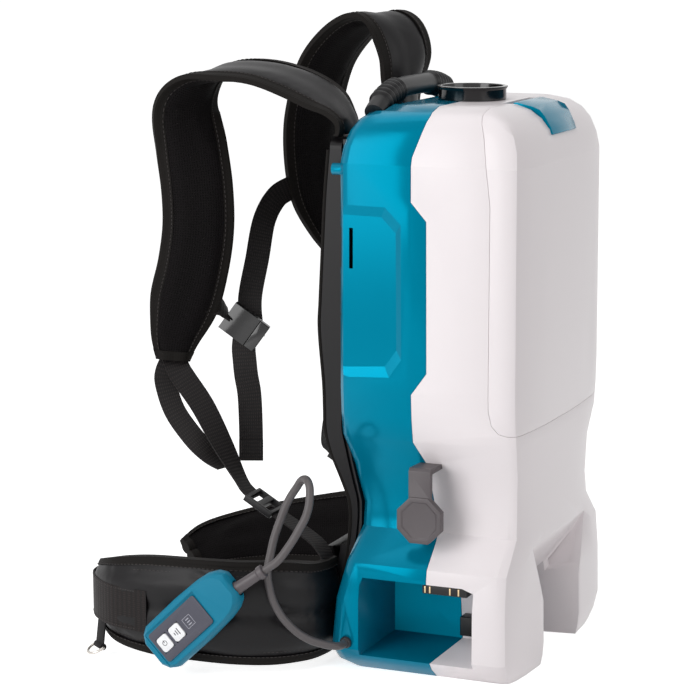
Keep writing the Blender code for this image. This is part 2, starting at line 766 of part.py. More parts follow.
def make_bag(top):
    """The dust bag, closed and part filled, hanging from its collar."""
    middle = (LINER_FRONT + LINER_BACK) / 2 - 1 * MM
    deep = (LINER_BACK - LINER_FRONT) / 2 - 5 * MM
    wide = LINER_HALF - 14 * MM
    floor = LINER_FLOOR + LINER_WALL + GAP
    rings = []
    for rise, size, swell in [(0, 0.8, 0.7), (0.04, 0.93, 0.9), (0.2, 1, 1), (0.5, 0.98, 0.95),
                              (0.8, 0.96, 0.8), (0.95, 0.8, 0.6), (1, 0.4, 0.45)]:
        z = floor + (top - floor) * rise
        ring = []
        for i in range(20):
            turn = 2 * math.pi * i / 20
            c, s = math.cos(turn), math.sin(turn)
            ring.append((wide * size * math.copysign(abs(c) ** 0.6, c),
                         middle + deep * swell * math.copysign(abs(s) ** 0.6, s), z))
        rings.append(ring)
    loft("dust_bag", rings, filter_cloth(), 40)


def make_filter():
    high = LINER_FLOOR - GAP
    low, front, back = high - FILTER_HIGH, LINER_FRONT + 6 * MM, LINER_BACK - 6 * MM
    frame = box("filter_frame", (-FILTER_HALF - FILTER_RIM, front, low),
                (FILTER_HALF + FILTER_RIM, back, high), black_plastic())
    boolean(frame, box("frame_room", (-FILTER_HALF, front + FILTER_RIM, low - 5 * MM),
                       (FILTER_HALF, back - FILTER_RIM, high + 5 * MM)))
    span = FILTER_HALF - GAP
    fold = 2 * span / PLEATS
    tops, unders = [], []
    for i in range(PLEATS + 1):
        x = -span + i * fold
        z = low + 2 * MM if i % 2 else high - 1 * MM
        tops.append((x, z))
        unders.append((x, z - PLEAT_THICK))
    prism("main_filter", tops + unders[::-1], "Y", front + FILTER_RIM + GAP,
          back - FILTER_RIM - GAP, filter_cloth())


def make_fan():
    centre = (0, FAN_Y, 0)
    tray_top = FAN_FLOOR - MOUNT_HIGH - 2 * GAP
    loft("fan_tray", [ring_at(z, WALL + GAP) for z in (tray_top - TRAY_THICK, tray_top)],
         black_plastic())
    turned("fan_mount", [
        (FAN_R - 18 * MM, tray_top + GAP), (FAN_R - 4 * MM, tray_top + GAP),
        (FAN_R - 6 * MM, tray_top + MOUNT_HIGH / 2), (FAN_R - 4 * MM, tray_top + MOUNT_HIGH + GAP),
        (FAN_R - 18 * MM, tray_top + MOUNT_HIGH + GAP),
    ], centre, 20, rubber())
    inner = FAN_R - FAN_WALL
    housing = turned("fan_housing", [
        (SHAFT_R + 2 * MM, FAN_FLOOR), (FAN_R, FAN_FLOOR), (FAN_R, FAN_TOP),
        (FAN_EYE, FAN_TOP), (FAN_EYE, FAN_TOP - FAN_WALL), (inner, FAN_TOP - FAN_WALL),
        (inner, FAN_FLOOR + FAN_WALL), (SHAFT_R + 2 * MM, FAN_FLOOR + FAN_WALL),
    ], centre, 28, black_plastic())
    boolean(housing, box("fan_outlet", (-12 * MM, FAN_Y + FAN_R - 10 * MM, FAN_TOP - 24 * MM),
                         (24 * MM, FAN_Y + FAN_R + 5 * MM, FAN_TOP - 8 * MM)))
    floor = FAN_FLOOR + FAN_WALL + GAP
    turned("motor_stator", [
        (BEARING_R + GAP, floor), (MOTOR_R, floor), (MOTOR_R, floor + MOTOR_HIGH),
        (BEARING_R + GAP, floor + MOTOR_HIGH),
    ], centre, 24, steel())
    for name, base in (("bearing_lower", floor),
                       ("bearing_upper", floor + MOTOR_HIGH - BEARING_HIGH)):
        turned(name, [(SHAFT_R + SHAFT_FIT, base), (BEARING_R, base),
                      (BEARING_R, base + BEARING_HIGH), (SHAFT_R + SHAFT_FIT, base + BEARING_HIGH)],
               centre, 24, steel())
    wheel = floor + MOTOR_HIGH + 4 * MM
    shaft = disc("motor_shaft", centre, SHAFT_R, floor + 1 * MM, wheel + IMPELLER_HIGH, 24, steel())
    set_origin(shaft, (0, FAN_Y, FAN_FLOOR))
    fan = turned("impeller", [
        (SHAFT_R + GAP, wheel), (IMPELLER_R, wheel), (IMPELLER_R, wheel + 2 * MM),
        (SHAFT_R + 8 * MM, wheel + 4 * MM), (SHAFT_R + 5 * MM, wheel + IMPELLER_HIGH - 1 * MM),
        (SHAFT_R + GAP, wheel + IMPELLER_HIGH - 1 * MM),
    ], centre, 24, grey_plastic())
    for i in range(IMPELLER_BLADES):
        boolean(fan, impeller_blade(f"blade_{i}", 2 * math.pi * i / IMPELLER_BLADES, wheel), "UNION")
    set_origin(fan, (0, FAN_Y, FAN_FLOOR))


def impeller_blade(name, turn, wheel):
    """One backward curved blade from the hub to the rim."""
    inner, outer = [], []
    for i in range(5):
        r = SHAFT_R + 5 * MM + (IMPELLER_R - SHAFT_R - 7 * MM) * i / 4
        lean = turn - math.radians(38) * i / 4
        for row, side in ((inner, -0.7 * MM), (outer, 0.7 * MM)):
            row.append((r * math.cos(lean) - side * math.sin(lean),
                        FAN_Y + r * math.sin(lean) + side * math.cos(lean)))
    return prism(name, inner + outer[::-1], "Z", wheel + 1 * MM, wheel + IMPELLER_HIGH - 3 * MM)


def make_board():
    face = BACK - WALL - GAP
    board = box("control_board", (-BOARD_HALF, face - BOARD_STAND - 1.6 * MM, BOARD_LOW),
                (BOARD_HALF, face - BOARD_STAND, BOARD_LOW + BOARD_HIGH), board_green())
    for side, word in SIDES:
        for z, row in ((BOARD_LOW + 8 * MM, "low"), (BOARD_LOW + BOARD_HIGH - 8 * MM, "high")):
            post = disc(f"board_post_{word}_{row}", (side * (BOARD_HALF - 8 * MM), 0, z), 3 * MM,
                        -face, -(face - BOARD_STAND - 1 * MM), 12, None, ALONG_Y)
            boolean(board, post, "UNION")


def make_terminals():
    """A block under each bay's roof with the blades that the battery slides onto."""
    for side, word in SIDES:
        roof = BAY_ROOF - GAP
        ends = sorted([side * (BAY_END + 12 * MM), side * (BAY_END + 44 * MM)])
        block = box(f"battery_terminal_{word}", (ends[0], -34 * MM, roof - 9 * MM),
                    (ends[1], 40 * MM, roof), black_plastic())
        for i in range(TERMINAL_BLADES):
            y = -24 * MM + i * 12 * MM
            far = side * (BAY_END + 60 * MM)
            span = sorted([side * (BAY_END + 40 * MM), far])
            blade = box(f"blade_{word}_{i}", (span[0], y, roof - 7 * MM),
                        (span[1], y + 1.2 * MM, roof - 2 * MM))
            boolean(block, blade, "UNION")
        ends = sorted([side * (BAY_END + GAP), side * (BAY_END + 16 * MM)])
        box(f"battery_catch_{word}", (ends[0], CATCH_Y - 8 * MM, CATCH_Z - 10 * MM),
            (ends[1], CATCH_Y + 8 * MM, CATCH_Z + 10 * MM), black_plastic())


# ---------------------------------------------------------------- casing fittings


def make_hook():
    """The hose hook: an arm out from the waist, down to an eight-sided head."""
    low, high = HOOK_TOP - HOOK_PLATE, HOOK_TOP - 1 * MM
    arm = prism("hose_hook", [
        (-side_at(low) - GAP, low), (-side_at(high) - GAP, high),
        (-HOOK_REACH + 3 * MM, HOOK_TOP), (-HOOK_REACH, HOOK_TOP - 3 * MM),
        (-HOOK_REACH, HOOK_HEAD_Z), (-HOOK_REACH + HOOK_PLATE, HOOK_HEAD_Z),
        (-HOOK_REACH + HOOK_PLATE, HOOK_TOP - HOOK_PLATE),
    ], "Y", -HOOK_HALF, HOOK_HALF, grey_plastic())
    head = disc("hook_head", (0, 0, HOOK_HEAD_Z), HOOK_HEAD_R / math.cos(math.pi / 8),
                -HOOK_REACH - 1.5 * MM, -HOOK_REACH + HOOK_PLATE + 1 * MM, 8, None,
                ALONG_X @ Matrix.Rotation(math.pi / 8, 3, "Z"))
    boolean(arm, head, "UNION")


def first_rib():
    """How far from the middle the handle's ribs start."""
    return HANDLE_HALF - RIB_MARGIN - RIB_PITCH * RIB_COUNT


def handle_radius(x, grow):
    """The grip's radius, swelling at each rib; a socket cut for it is plain and larger."""
    if grow:
        return RIB_R + grow
    along = abs(x) - first_rib()
    if 0 < along < RIB_PITCH * RIB_COUNT:
        return HANDLE_R + (RIB_R - HANDLE_R) * math.sin(math.pi * (along / RIB_PITCH % 1)) ** 0.7
    return HANDLE_R


def handle_solid(name, grow=0.0, finish=None):
    """The arched carry handle; with grow, the socket and the wall round it."""
    ribs = [first_rib() + RIB_PITCH * i / 2 for i in range(2 * RIB_COUNT + 1)]
    right = [first_rib() * 0.5] + ribs + [HANDLE_HALF + grow]
    rings = []
    for x in [-a for a in right[::-1]] + [0] + right:
        share = abs(x) / HANDLE_HALF
        z = HANDLE_Z + HANDLE_RISE * (1 - share ** 3.2)
        lean = math.atan(-3.2 * HANDLE_RISE / HANDLE_HALF * share ** 2.2 * math.copysign(1, x))
        r = handle_radius(x, grow)
        rings.append([
            (x - r * math.sin(turn) * math.sin(lean), HANDLE_Y + r * math.cos(turn),
             z + r * math.sin(turn) * math.cos(lean))
            for turn in [2 * math.pi * i / 12 for i in range(12)]
        ])
    return loft(name, rings, finish, 50)


def make_handle():
    handle_solid("carry_handle", 0, black_plastic())


# ---------------------------------------------------------------- swept pieces


FLAT = ((-1, -1), (1, -1), (1, 1), (-1, 1))


def cushion_section():
    """Half width and half thickness shares round a padded strap: bound edges, seams, a channel."""
    half = [(1, 0.36), (0.93, 0.46), (0.87, 0.32), (0.6, 0.86), (0.25, 1), (0, 0.86)]
    top = [(-u, v) for u, v in half[:-1]] + half[::-1]
    return top + [(u, -v) for u, v in top[::-1]]


def stations(points, half, thick, steps):
    """Stations from points of place in mm, width direction, and shares of half width and thickness."""
    return [
        (Vector(p[:3]) * MM, Vector(p[3:6]), p[6] * half, p[7] * thick / 2)
        for p in smooth_path(points, steps)
    ]


def heading(row, i):
    return (row[min(i + 1, len(row) - 1)][0] - row[max(i - 1, 0)][0]).normalized()


def square_to(direction, tangent):
    return (direction - tangent * direction.dot(tangent)).normalized()


def sweep(name, row, section, finish, smooth=None, ways=None):
    """A cross-section swept along stations; ways sets the heading of some of them."""
    rings = []
    for i, (centre, across, half, thick) in enumerate(row):
        tangent = (ways or {}).get(i) or heading(row, i)
        wide = square_to(across, tangent)
        out = tangent.cross(wide)
        rings.append([centre + wide * u * half + out * v * thick for u, v in section])
    return loft(name, rings, finish, smooth)


def after(row):
    """The place just past the last station, its width direction and the way on."""
    run = heading(row, len(row) - 1)
    return row[-1][0] + run * GAP, row[-1][1], run


def led(here, there, run):
    """The point a smooth path comes from, for it to leave here along run towards there."""
    reach = 2 * (Vector(there[:3]) - Vector(here[:3])).length
    return [*(Vector(there[:3]) - run * reach), *there[3:]]


def web(name, first, points, last=None, steps=3, share=1):
    """Webbing that leaves one piece straight, runs on through points in mm and may end at another."""
    place, across, run = first
    route = [(*(place / MM), *across)] + points
    ways, end = {0: run}, None
    if last:
        route.append((*(last[0] / MM), *last[1]))
        end = led(route[-1], route[-2], -last[2])
        ways[steps * (len(route) - 1)] = last[2]
    path = smooth_path(route, steps, led(route[0], route[1], run), end)
    row = [(Vector(p[:3]) * MM, Vector(p[3:]), WEB_HALF * share, WEB_THICK / 2) for p in path]
    sweep(name, row, FLAT, webbing(), None, ways)


# ---------------------------------------------------------------- back and pads


def plate_front(z):
    return back_at(min(z, SHOULDER_Z)) + GAP + PLATE_THICK


def make_back_plate():
    levels = [lv[0] for lv in casing_levels() if PLATE_LOW < lv[0] <= SHOULDER_Z]
    rings = []
    for z in [PLATE_LOW] + levels + [PLATE_TOP]:
        front = plate_front(z)
        rings.append([(x, y, z) for x, y in [
            (-PLATE_HALF, front - PLATE_THICK), (PLATE_HALF, front - PLATE_THICK),
            (PLATE_HALF, front), (-PLATE_HALF, front)]])
    loft("back_plate", rings, black_plastic())


def pad_stand(z):
    """How far the pad's piping stands off the casing at a height."""
    stands = in_mm([(0, 12), (20, 10), (103, 10), (161, 12), (186, 15), (216, 21), (300, 24),
                    (337, 28), (367, 27), (468, 22), (517, 18), (535, 17)])
    for (low, here), (high, there) in zip(stands, stands[1:]):
        if low <= z <= high:
            return here + (there - here) * (z - low) / (high - low)
    return stands[-1][1]


def pad_ring(z, half, back, edge, crown, bow, dip):
    """One level of a pad: flat at the back, piped at the edges, crowned with a channel."""
    side = [(1, edge - PIPING), (0.98, edge), (0.955, edge - PIPING), (0.83, crown - bow),
            (0.5, crown - bow * 0.3), (0.08, crown)]
    right = [(half * u, y) for u, y in side]
    outline = [(-half, back), (half, back)] + right + [(0, crown - dip)]
    return [(x, y, z) for x, y in outline + [(-x, y) for x, y in right[::-1]]]


def make_back_pad():
    low, high = PAD_LOW, PAD_TOP
    seat_low, seat_high = LUMBAR_LOW - 6 * MM, LUMBAR_HIGH + 8 * MM
    channels = [seat_high + (high - seat_high) * share for share in (0.25, 0.48, 0.7, 0.9)]
    levels = {low, low + 4 * MM, seat_low, seat_high, seat_high + 18 * MM, high - 9 * MM, high}
    levels |= {lv[0] for lv in casing_levels() if low < lv[0] <= SHOULDER_Z}
    for z in channels:
        levels |= {z - 9 * MM, z, z + 9 * MM}
    rings = []
    for z in sorted(levels):
        edge = back_at(min(z, SHOULDER_Z)) + pad_stand(z)
        if seat_low <= z <= seat_high:
            crown, bow, dip = LUMBAR_SEAT, 0, 0
        else:
            crown, bow, dip = edge + PAD_CROWN, PAD_CROWN / 2, PAD_DIP
            if z in channels:
                crown -= PAD_DIP
        if z in (low, high):
            crown = edge
        ease = 14 * MM if z in (low, high) else 4 * MM if z in (low + 4 * MM, high - 9 * MM) else 0
        rings.append(pad_ring(z, PAD_HALF - ease, plate_front(z) + GAP, edge, crown, bow, dip))
    loft("back_pad", rings, mesh_cloth(), 40)


def make_lumbar_pad():
    span = LUMBAR_HIGH - LUMBAR_LOW
    back = LUMBAR_SEAT + GAP
    rings = []
    for share, fill in [(0, 0.55), (0.06, 0.8), (0.2, 0.98), (0.3, 1), (0.35, 0.78), (0.4, 1),
                        (0.6, 1), (0.65, 0.78), (0.7, 1), (0.8, 0.98), (0.94, 0.8), (1, 0.55)]:
        ease = LUMBAR_HALF * (0.1 if share in (0, 1) else 0.03 if share in (0.06, 0.94) else 0)
        rings.append(pad_ring(LUMBAR_LOW + span * share, LUMBAR_HALF - ease, back,
                              back + LUMBAR_THICK * 0.5, back + LUMBAR_THICK * fill,
                              LUMBAR_THICK * 0.12, LUMBAR_THICK * 0.15))
    loft("lumbar_pad", rings, mesh_cloth(), 40)


# ---------------------------------------------------------------- shoulder harness


def strap_root(side):
    """Where a strap stands on the pad's top edge."""
    return Vector((side * STRAP_X, STRAP_Y, PAD_TOP + GAP)), Vector((1, 0, 0))


def make_strap(name, side, points, steps):
    """A padded strap from the pad's top edge over the shoulder to its stitched end."""
    place, across = strap_root(side)
    root = (place, across, STRAP_HALF, STRAP_THICK * 0.4)
    row = [root] + stations(points, STRAP_HALF, STRAP_THICK, steps)
    sweep(name, row, cushion_section(), nylon(), 60)
    return row


def make_straps():
    """The wearer's left strap lies over to the left; the right one arches up behind the grip."""
    left = make_strap("shoulder_strap_left", -1, [
        (-78, 106, 535, 1, 0.1, 0, 1, 0.8), (-78, 111, 546, 1, 0.2, 0.1, 1, 0.9),
        (-78, 128, 562, 1, 0.2, 0.3, 1, 1), (-78, 160, 578, 1, 0, 0.25, 1, 1),
        (-79, 200, 589, 1, 0, 0.2, 1, 1), (-80, 240, 589, 1, -0.1, 0.15, 1, 1),
        (-81, 268, 577, 1, -0.3, 0, 1, 1), (-83, 283, 550, 0.8, -0.6, 0, 1, 1),
        (-84, 277, 510, 0.6, -0.8, 0, 1, 1), (-85, 271, 470, 0.5, -0.87, 0, 1, 1),
        (-85, 270, 430, 0.5, -0.87, 0, 1, 1), (-85, 276, 390, 0.5, -0.87, 0, 1, 1),
        (-85, 287, 350, 0.5, -0.87, 0, 0.98, 1), (-86, 297, 315, 0.5, -0.87, 0, 0.72, 0.9),
        (-87, 300, 290, 0.5, -0.87, 0, 0.48, 0.6),
    ], 2)
    right = make_strap("shoulder_strap_right", 1, [
        (78, 106, 535, 1, 0.1, 0, 1, 0.8), (77.5, 107, 548, 1, 0, 0, 1, 0.9),
        (76, 109, 572, 0.96, -0.2, 0, 1, 1), (76, 107, 602, 0.9, -0.4, 0, 1, 1),
        (77, 119, 628, 0.88, -0.47, 0, 1, 1), (77, 142, 637, 0.88, -0.47, 0, 1, 1),
        (77, 170, 622, 0.88, -0.47, 0, 1, 1), (77, 196, 590, 0.88, -0.47, 0, 1, 1),
        (77, 210, 545, 0.88, -0.47, 0, 1, 1), (77, 214, 510, 0.88, -0.47, 0, 1, 1),
        (77, 211, 470, 0.88, -0.47, 0, 1, 1), (75, 205, 440, 0.88, -0.47, 0, 0.9, 1),
        (73, 194, 412, 0.88, -0.47, 0, 0.65, 0.9), (74, 176, 385, 0.88, -0.47, 0, 0.48, 0.6),
    ], 2)
    return left, right


def slab(name, centre, along, across, size, finish=None):
    """A box with its own directions; size is its half length, half width and half thickness."""
    along = Vector(along).normalized()
    across = square_to(Vector(across), along)
    out = along.cross(across)
    rings = [
        [Vector(centre) + along * s * size[0] + across * u * size[1] + out * v * size[2]
         for u, v in FLAT]
        for s in (-1, 1)
    ]
    return loft(name, rings, finish)


def make_ladder_lock(word, side):
    """The strap adjuster: a frame with two slots that the webbing threads."""
    centre = Vector(in_mm([(side * 108, 187, 152)])[0])
    along, across = Vector((0, -0.86, -0.5)).normalized(), Vector((1, 0, 0))
    lock = slab(f"ladder_lock_{word}", centre, along, across,
                (LOCK_LONG / 2, LOCK_HALF, LOCK_THICK / 2), black_plastic())
    for row, shift in (("upper", -0.24), ("lower", 0.24)):
        slot = slab(f"lock_slot_{word}_{row}", centre + along * LOCK_LONG * shift, along, across,
                    (LOCK_LONG * 0.13, WEB_HALF + 1 * MM, LOCK_THICK))
        boolean(lock, slot)
    end = LOCK_LONG / 2 + GAP
    return (centre - along * end, across, along), (centre + along * end, across, along)


def make_lower_webs(left, right):
    routes = {
        "left": [(-90, 285, 272, 0.5, -0.87, 0), (-93, 263, 244, 0.6, -0.8, 0),
                 (-99, 238, 207, 0.8, -0.5, 0), (-105, 215, 174, 1, 0, 0)],
        "right": [(80, 174, 365, 0.9, -0.4, 0), (88, 180, 310, 0.9, -0.3, 0),
                  (97, 195, 240, 0.95, -0.2, 0), (105, 213, 178, 1, 0, 0)],
    }
    for side, word in SIDES:
        above, below = make_ladder_lock(word, side)
        row = left if side < 0 else right
        web(f"lower_web_{word}", after(row), routes[word], above)
        foot = Vector((side * 129 * MM, 107.6 * MM, WING_TOP + GAP))
        web(f"anchor_web_{word}", below, [
            (side * 112, 152, 134, 1, 0, 0), (side * 121, 124, 122, 1, 0, 0)],
            (foot, Vector((1, 0, 0)), Vector((0, 0, -1))))
    place, across, run = after(left)
    inner = square_to(across, run).cross(run)
    beside = place + inner * way_back(inner) * (WEB_THICK + 4 * GAP) - across * WEB_HALF * 0.3
    web("web_tail_left", (beside, across, run), [
        (-88, 308, 262, 0.5, -0.87, 0.1), (-92, 296, 236, 0.45, -0.8, 0.3),
        (-96, 274, 212, 0.5, -0.6, 0.5), (-99, 253, 195, 0.8, -0.3, 0.4),
        (-103, 234, 184, 1, 0, 0.1)], None, 3, 0.9)


def make_chest_strap(left, right):
    """The sternum strap: its buckle closed, its long end hanging."""
    centre = Vector((-48, 236, 322)) * MM
    along = Vector((0.2, -0.78, -0.58)).normalized()
    across = square_to(Vector((0, 0, 1)), along)
    out = along.cross(across)
    half_long, half_thick = BUCKLE_LONG / 2, BUCKLE_THICK / 2
    socket_half = half_long - BUCKLE_BASE / 2
    socket = slab("chest_buckle_socket", centre - along * BUCKLE_BASE / 2, along, across,
                  (socket_half, BUCKLE_HALF, half_thick), black_plastic())
    room = slab("buckle_room", centre + along * 3 * MM, along, across,
                (half_long, BUCKLE_HALF - 3 * MM, half_thick - 2 * MM))
    boolean(socket, room)
    for word, way in (("high", 1), ("low", -1)):
        window = slab(f"buckle_window_{word}", centre + across * way * BUCKLE_HALF, along, across,
                      (6 * MM, 5 * MM, half_thick - 2.5 * MM))
        boolean(socket, window)
    base = centre + along * (half_long - BUCKLE_BASE / 2 + GAP / 2)
    plug = slab("chest_buckle_plug", base, along, across,
                (BUCKLE_BASE / 2 - GAP / 2, BUCKLE_HALF, half_thick), black_plastic())
    for word, way in (("high", 1), ("low", -1)):
        prong = slab(f"prong_{word}", centre + along * 4 * MM + across * way * 8.5 * MM, along,
                     across, (14 * MM, 3 * MM, half_thick - 2 * MM - GAP))
        boolean(plug, prong, "UNION")
    near = centre - along * (half_long + GAP)
    place, edge, run = strap_edge(left, CHEST_LEFT_Z, 1)
    web("chest_web_left", (place, -edge, run), [], (near, across, along))
    rear = out * way_back(out)
    lift = centre + along * 8 * MM + rear * (half_thick + WEB_THICK / 2 + 3 * GAP)
    far, far_across, far_run = strap_edge(right, CHEST_RIGHT_Z, -1)
    web("chest_web_right", (lift, along, (across + rear * 0.8).normalized()), [
        (-30, 238, 350, 0.3, -0.9, -0.1),
        (-5, 241, 388, 0.4, -0.85, -0.1), (17, 243, 425, 0.4, -0.6, -0.5),
        (29, 238, 450, 0, -0.2, -1)], (far, far_across, -far_run))
    low = centre + along * 4 * MM - across * (BUCKLE_HALF + GAP)
    down = Vector((0, 0, -1))
    flat = square_to(along, down)
    drop = flat.dot(across) * WEB_HALF / across.z
    web("chest_web_tail", (low + down * drop, flat, down), [
        (-47, 235, 275, 0.35, -0.9, 0), (-46, 232, 250, 0.39, -0.92, 0),
        (-45, 231, 215, 0.39, -0.92, 0), (-45, 231, 168, 0.39, -0.92, 0)])


def way_back(out):
    """Which sign of a normal points away from the casing's left side."""
    return 1 if out.x > 0 else -1


def strap_edge(row, height, way):
    """A place just off a strap's edge at a height, a sewn web's width direction and its way out."""
    i = min(range(len(row) // 2, len(row)), key=lambda k: abs(row[k][0].z - height))
    centre, across, half, thick = row[i]
    wide = square_to(across, heading(row, i))
    return centre + wide * way * (half + 3 * GAP), heading(row, i), wide * way


# ---------------------------------------------------------------- hip belt


def wing_row(points, side, steps):
    """Stations of a wing from points of x, y, middle height, half height and tilt in degrees."""
    row = []
    path = smooth_path(points, steps)
    for i, (x, y, z, half, tilt, fill) in enumerate(path):
        ahead, behind = path[min(i + 1, len(path) - 1)], path[max(i - 1, 0)]
        run = Vector((ahead[0] - behind[0], ahead[1] - behind[1], 0)).normalized()
        outward = Vector((run.y, -run.x, 0)) * side
        lean = math.radians(tilt)
        across = outward * math.sin(lean) + Vector((0, 0, 1)) * math.cos(lean)
        row.append((Vector((x, y, z)) * MM, across, half * MM, fill * WING_THICK / 2))
    centre, across, half, thick = row[0]
    root = (Vector((side * (PAD_HALF + GAP), centre.y, centre.z)), across, half, thick)
    return [root] + row


def make_wings():
    left = wing_row([
        (-119, 107, 59.5, 46.5, 0, 1), (-140, 108, 59.5, 47, 0, 1), (-165, 116, 60.5, 48.5, 0, 1),
        (-190, 138, 63.5, 51.5, 0, 1), (-207, 172, 64.5, 51.5, 0, 1), (-214, 215, 65, 51, 0, 1),
        (-214, 262, 64.5, 49.5, 0, 1), (-206, 303, 63.5, 43.5, 0, 1), (-186, 330, 64, 34, 0, 1),
        (-168, 341, 64, 25, 0, 0.9), (-160, 344, 63, 16, 0, 0.6),
    ], -1, 2)
    sweep("hip_wing_left", left, cushion_section(), nylon(), 60)
    right = wing_row([
        (119, 107, 59.5, 46.5, 0, 1), (140, 108, 59.5, 47, 0, 1), (168, 120, 60, 48, 5, 1),
        (192, 152, 58, 47, 10, 1), (204, 200, 52, 43, 18, 1), (204, 250, 45, 40, 28, 1),
        (192, 300, 39, 36, 36, 1), (165, 340, 34, 32, 40, 1), (130, 366, 31, 27, 42, 0.9),
        (103, 380, 28, 17, 42, 0.6),
    ], 1, 2)
    sweep("hip_wing_right", right, cushion_section(), nylon(), 60)
    return left, right


def make_belt_web(left):
    """The wide web on the left wing's outer face, turned round the wing's tip."""
    middle, half = (BELT_WEB_LOW + BELT_WEB_HIGH) / 2, (BELT_WEB_HIGH - BELT_WEB_LOW) / 2
    stand = WING_THICK / 2 + GAP + WEB_THICK / 2
    row = []
    for i, (centre, across, wing_half, thick) in enumerate(left):
        if centre.y > 0.245 and i < len(left) - 1:
            run = heading(left, i)
            place = centre + Vector((run.y, -run.x, 0)).normalized() * -stand
            row.append((Vector((place.x, place.y, middle)), across, half, WEB_THICK / 2))
    tip, run = left[-1][0], heading(left, len(left) - 1)
    outward = Vector((-run.y, run.x, 0)).normalized()
    for ahead, aside in ((2, 8.2), (6.5, 5.5), (8, 0), (6.5, -6)):
        place = tip + run * ahead * MM + outward * aside * MM
        row.append((Vector((place.x, place.y, middle)), Vector((0, 0, 1)), half, WEB_THICK / 2))
    sweep("belt_web_left", row, FLAT, webbing())
    return row


def make_belt_ring(row):
    """A D-shaped wire ring in a sewn loop under the belt web."""
    i = min(range(len(row)), key=lambda k: (row[k][0] - Vector((-0.2, 0.325, 0.06))).length)
    centre, across, half, thick = row[i]
    run = heading(row, i)
    outward = Vector((-run.y, run.x, 0)).normalized()
    top = Vector((centre.x, centre.y, centre.z - half - GAP))
    bar = Vector((top.x, top.y, 12.5 * MM)) + outward * 3 * MM
    eye = RING_WIRE + GAP
    collar = eye + WEB_THICK
    tab = slab("belt_tab", (top + bar) / 2 + Vector((0, 0, eye / 2)), top - bar, run,
               ((top - bar).length / 2 - eye / 2, TAB_HALF, WEB_THICK / 2), webbing())
    spin = Matrix((run, outward, Vector((0, 0, 1)))).transposed()
    boolean(tab, disc("tab_loop", bar, collar, -TAB_HALF, TAB_HALF, 16, None, spin @ ALONG_X),
            "UNION")
    boolean(tab, disc("tab_eye", bar, eye, -2 * TAB_HALF, 2 * TAB_HALF, 16, None, spin @ ALONG_X))
    droop = outward * math.cos(RING_DROOP) - Vector((0, 0, math.sin(RING_DROOP)))
    path = []
    reach = RING_LONG - RING_HALF
    for along, away in ((-0.9, 0), (-0.3, 0), (0.3, 0), (0.9, 0)):
        path.append(bar + run * along * RING_HALF + droop * away)
    path.append(bar + run * RING_HALF + droop * RING_HALF * 0.12)
    for i in range(9):
        turn = math.pi * i / 8
        path.append(bar + run * RING_HALF * math.cos(turn)
                    + droop * (reach + RING_HALF * math.sin(turn)))
    path.append(bar - run * RING_HALF + droop * RING_HALF * 0.12)
    set_origin(wire_ring("belt_ring", path, RING_WIRE, run.cross(droop)), bar)


def wire_ring(name, path, radius, normal):
    """A closed wire through a flat loop of points."""
    count, verts = len(path), []
    for i, point in enumerate(path):
        tangent = (path[(i + 1) % count] - path[i - 1]).normalized()
        side = tangent.cross(normal).normalized()
        for k in range(8):
            turn = 2 * math.pi * k / 8
            verts.append(point + side * radius * math.cos(turn) + normal * radius * math.sin(turn))
    faces = [
        (r * 8 + k, r * 8 + (k + 1) % 8, (r + 1) % count * 8 + (k + 1) % 8, (r + 1) % count * 8 + k)
        for r in range(count)
        for k in range(8)
    ]
    return add_object(name, verts, faces, steel(), 50)


# ---------------------------------------------------------------- remote and cord


def remote_place(s, w, d):
    """A point on the remote: along it towards its cord, across it, and out of its face."""
    centre = Vector((REMOTE_X, REMOTE_Y, REMOTE_Z))
    along = Vector((0, -math.cos(REMOTE_TILT), math.sin(REMOTE_TILT)))
    across = Vector((0, math.sin(REMOTE_TILT), math.cos(REMOTE_TILT)))
    return centre + along * s + across * w + Vector((-d, 0, 0))


def remote_slab(name, low, high, finish=None):
    """A box in the remote's own directions, from low to high (along, across, out)."""
    rings = [
        [remote_place(s, w, d) for s, w in [(low[0], low[1]), (high[0], low[1]),
                                            (high[0], high[1]), (low[0], high[1])]]
        for d in (low[2], high[2])
    ]
    return loft(name, rings, finish)


def relief_frame():
    """Where the strain relief starts in the remote, and its direction."""
    return remote_place(36 * MM, -4 * MM, 0), Vector((0.146, -0.8, 0.58)).normalized()


def spindle(name, start, along, profile, steps, finish=None):
    """A solid turned about any line, from radii at distances along it."""
    wide = square_to(Vector((0, 0, 1)), along)
    out = along.cross(wide)
    rings = [
        [start + along * h + (wide * math.cos(2 * math.pi * k / steps)
                              + out * math.sin(2 * math.pi * k / steps)) * r
         for k in range(steps)]
        for r, h in profile
    ]
    return loft(name, rings, finish, 40)


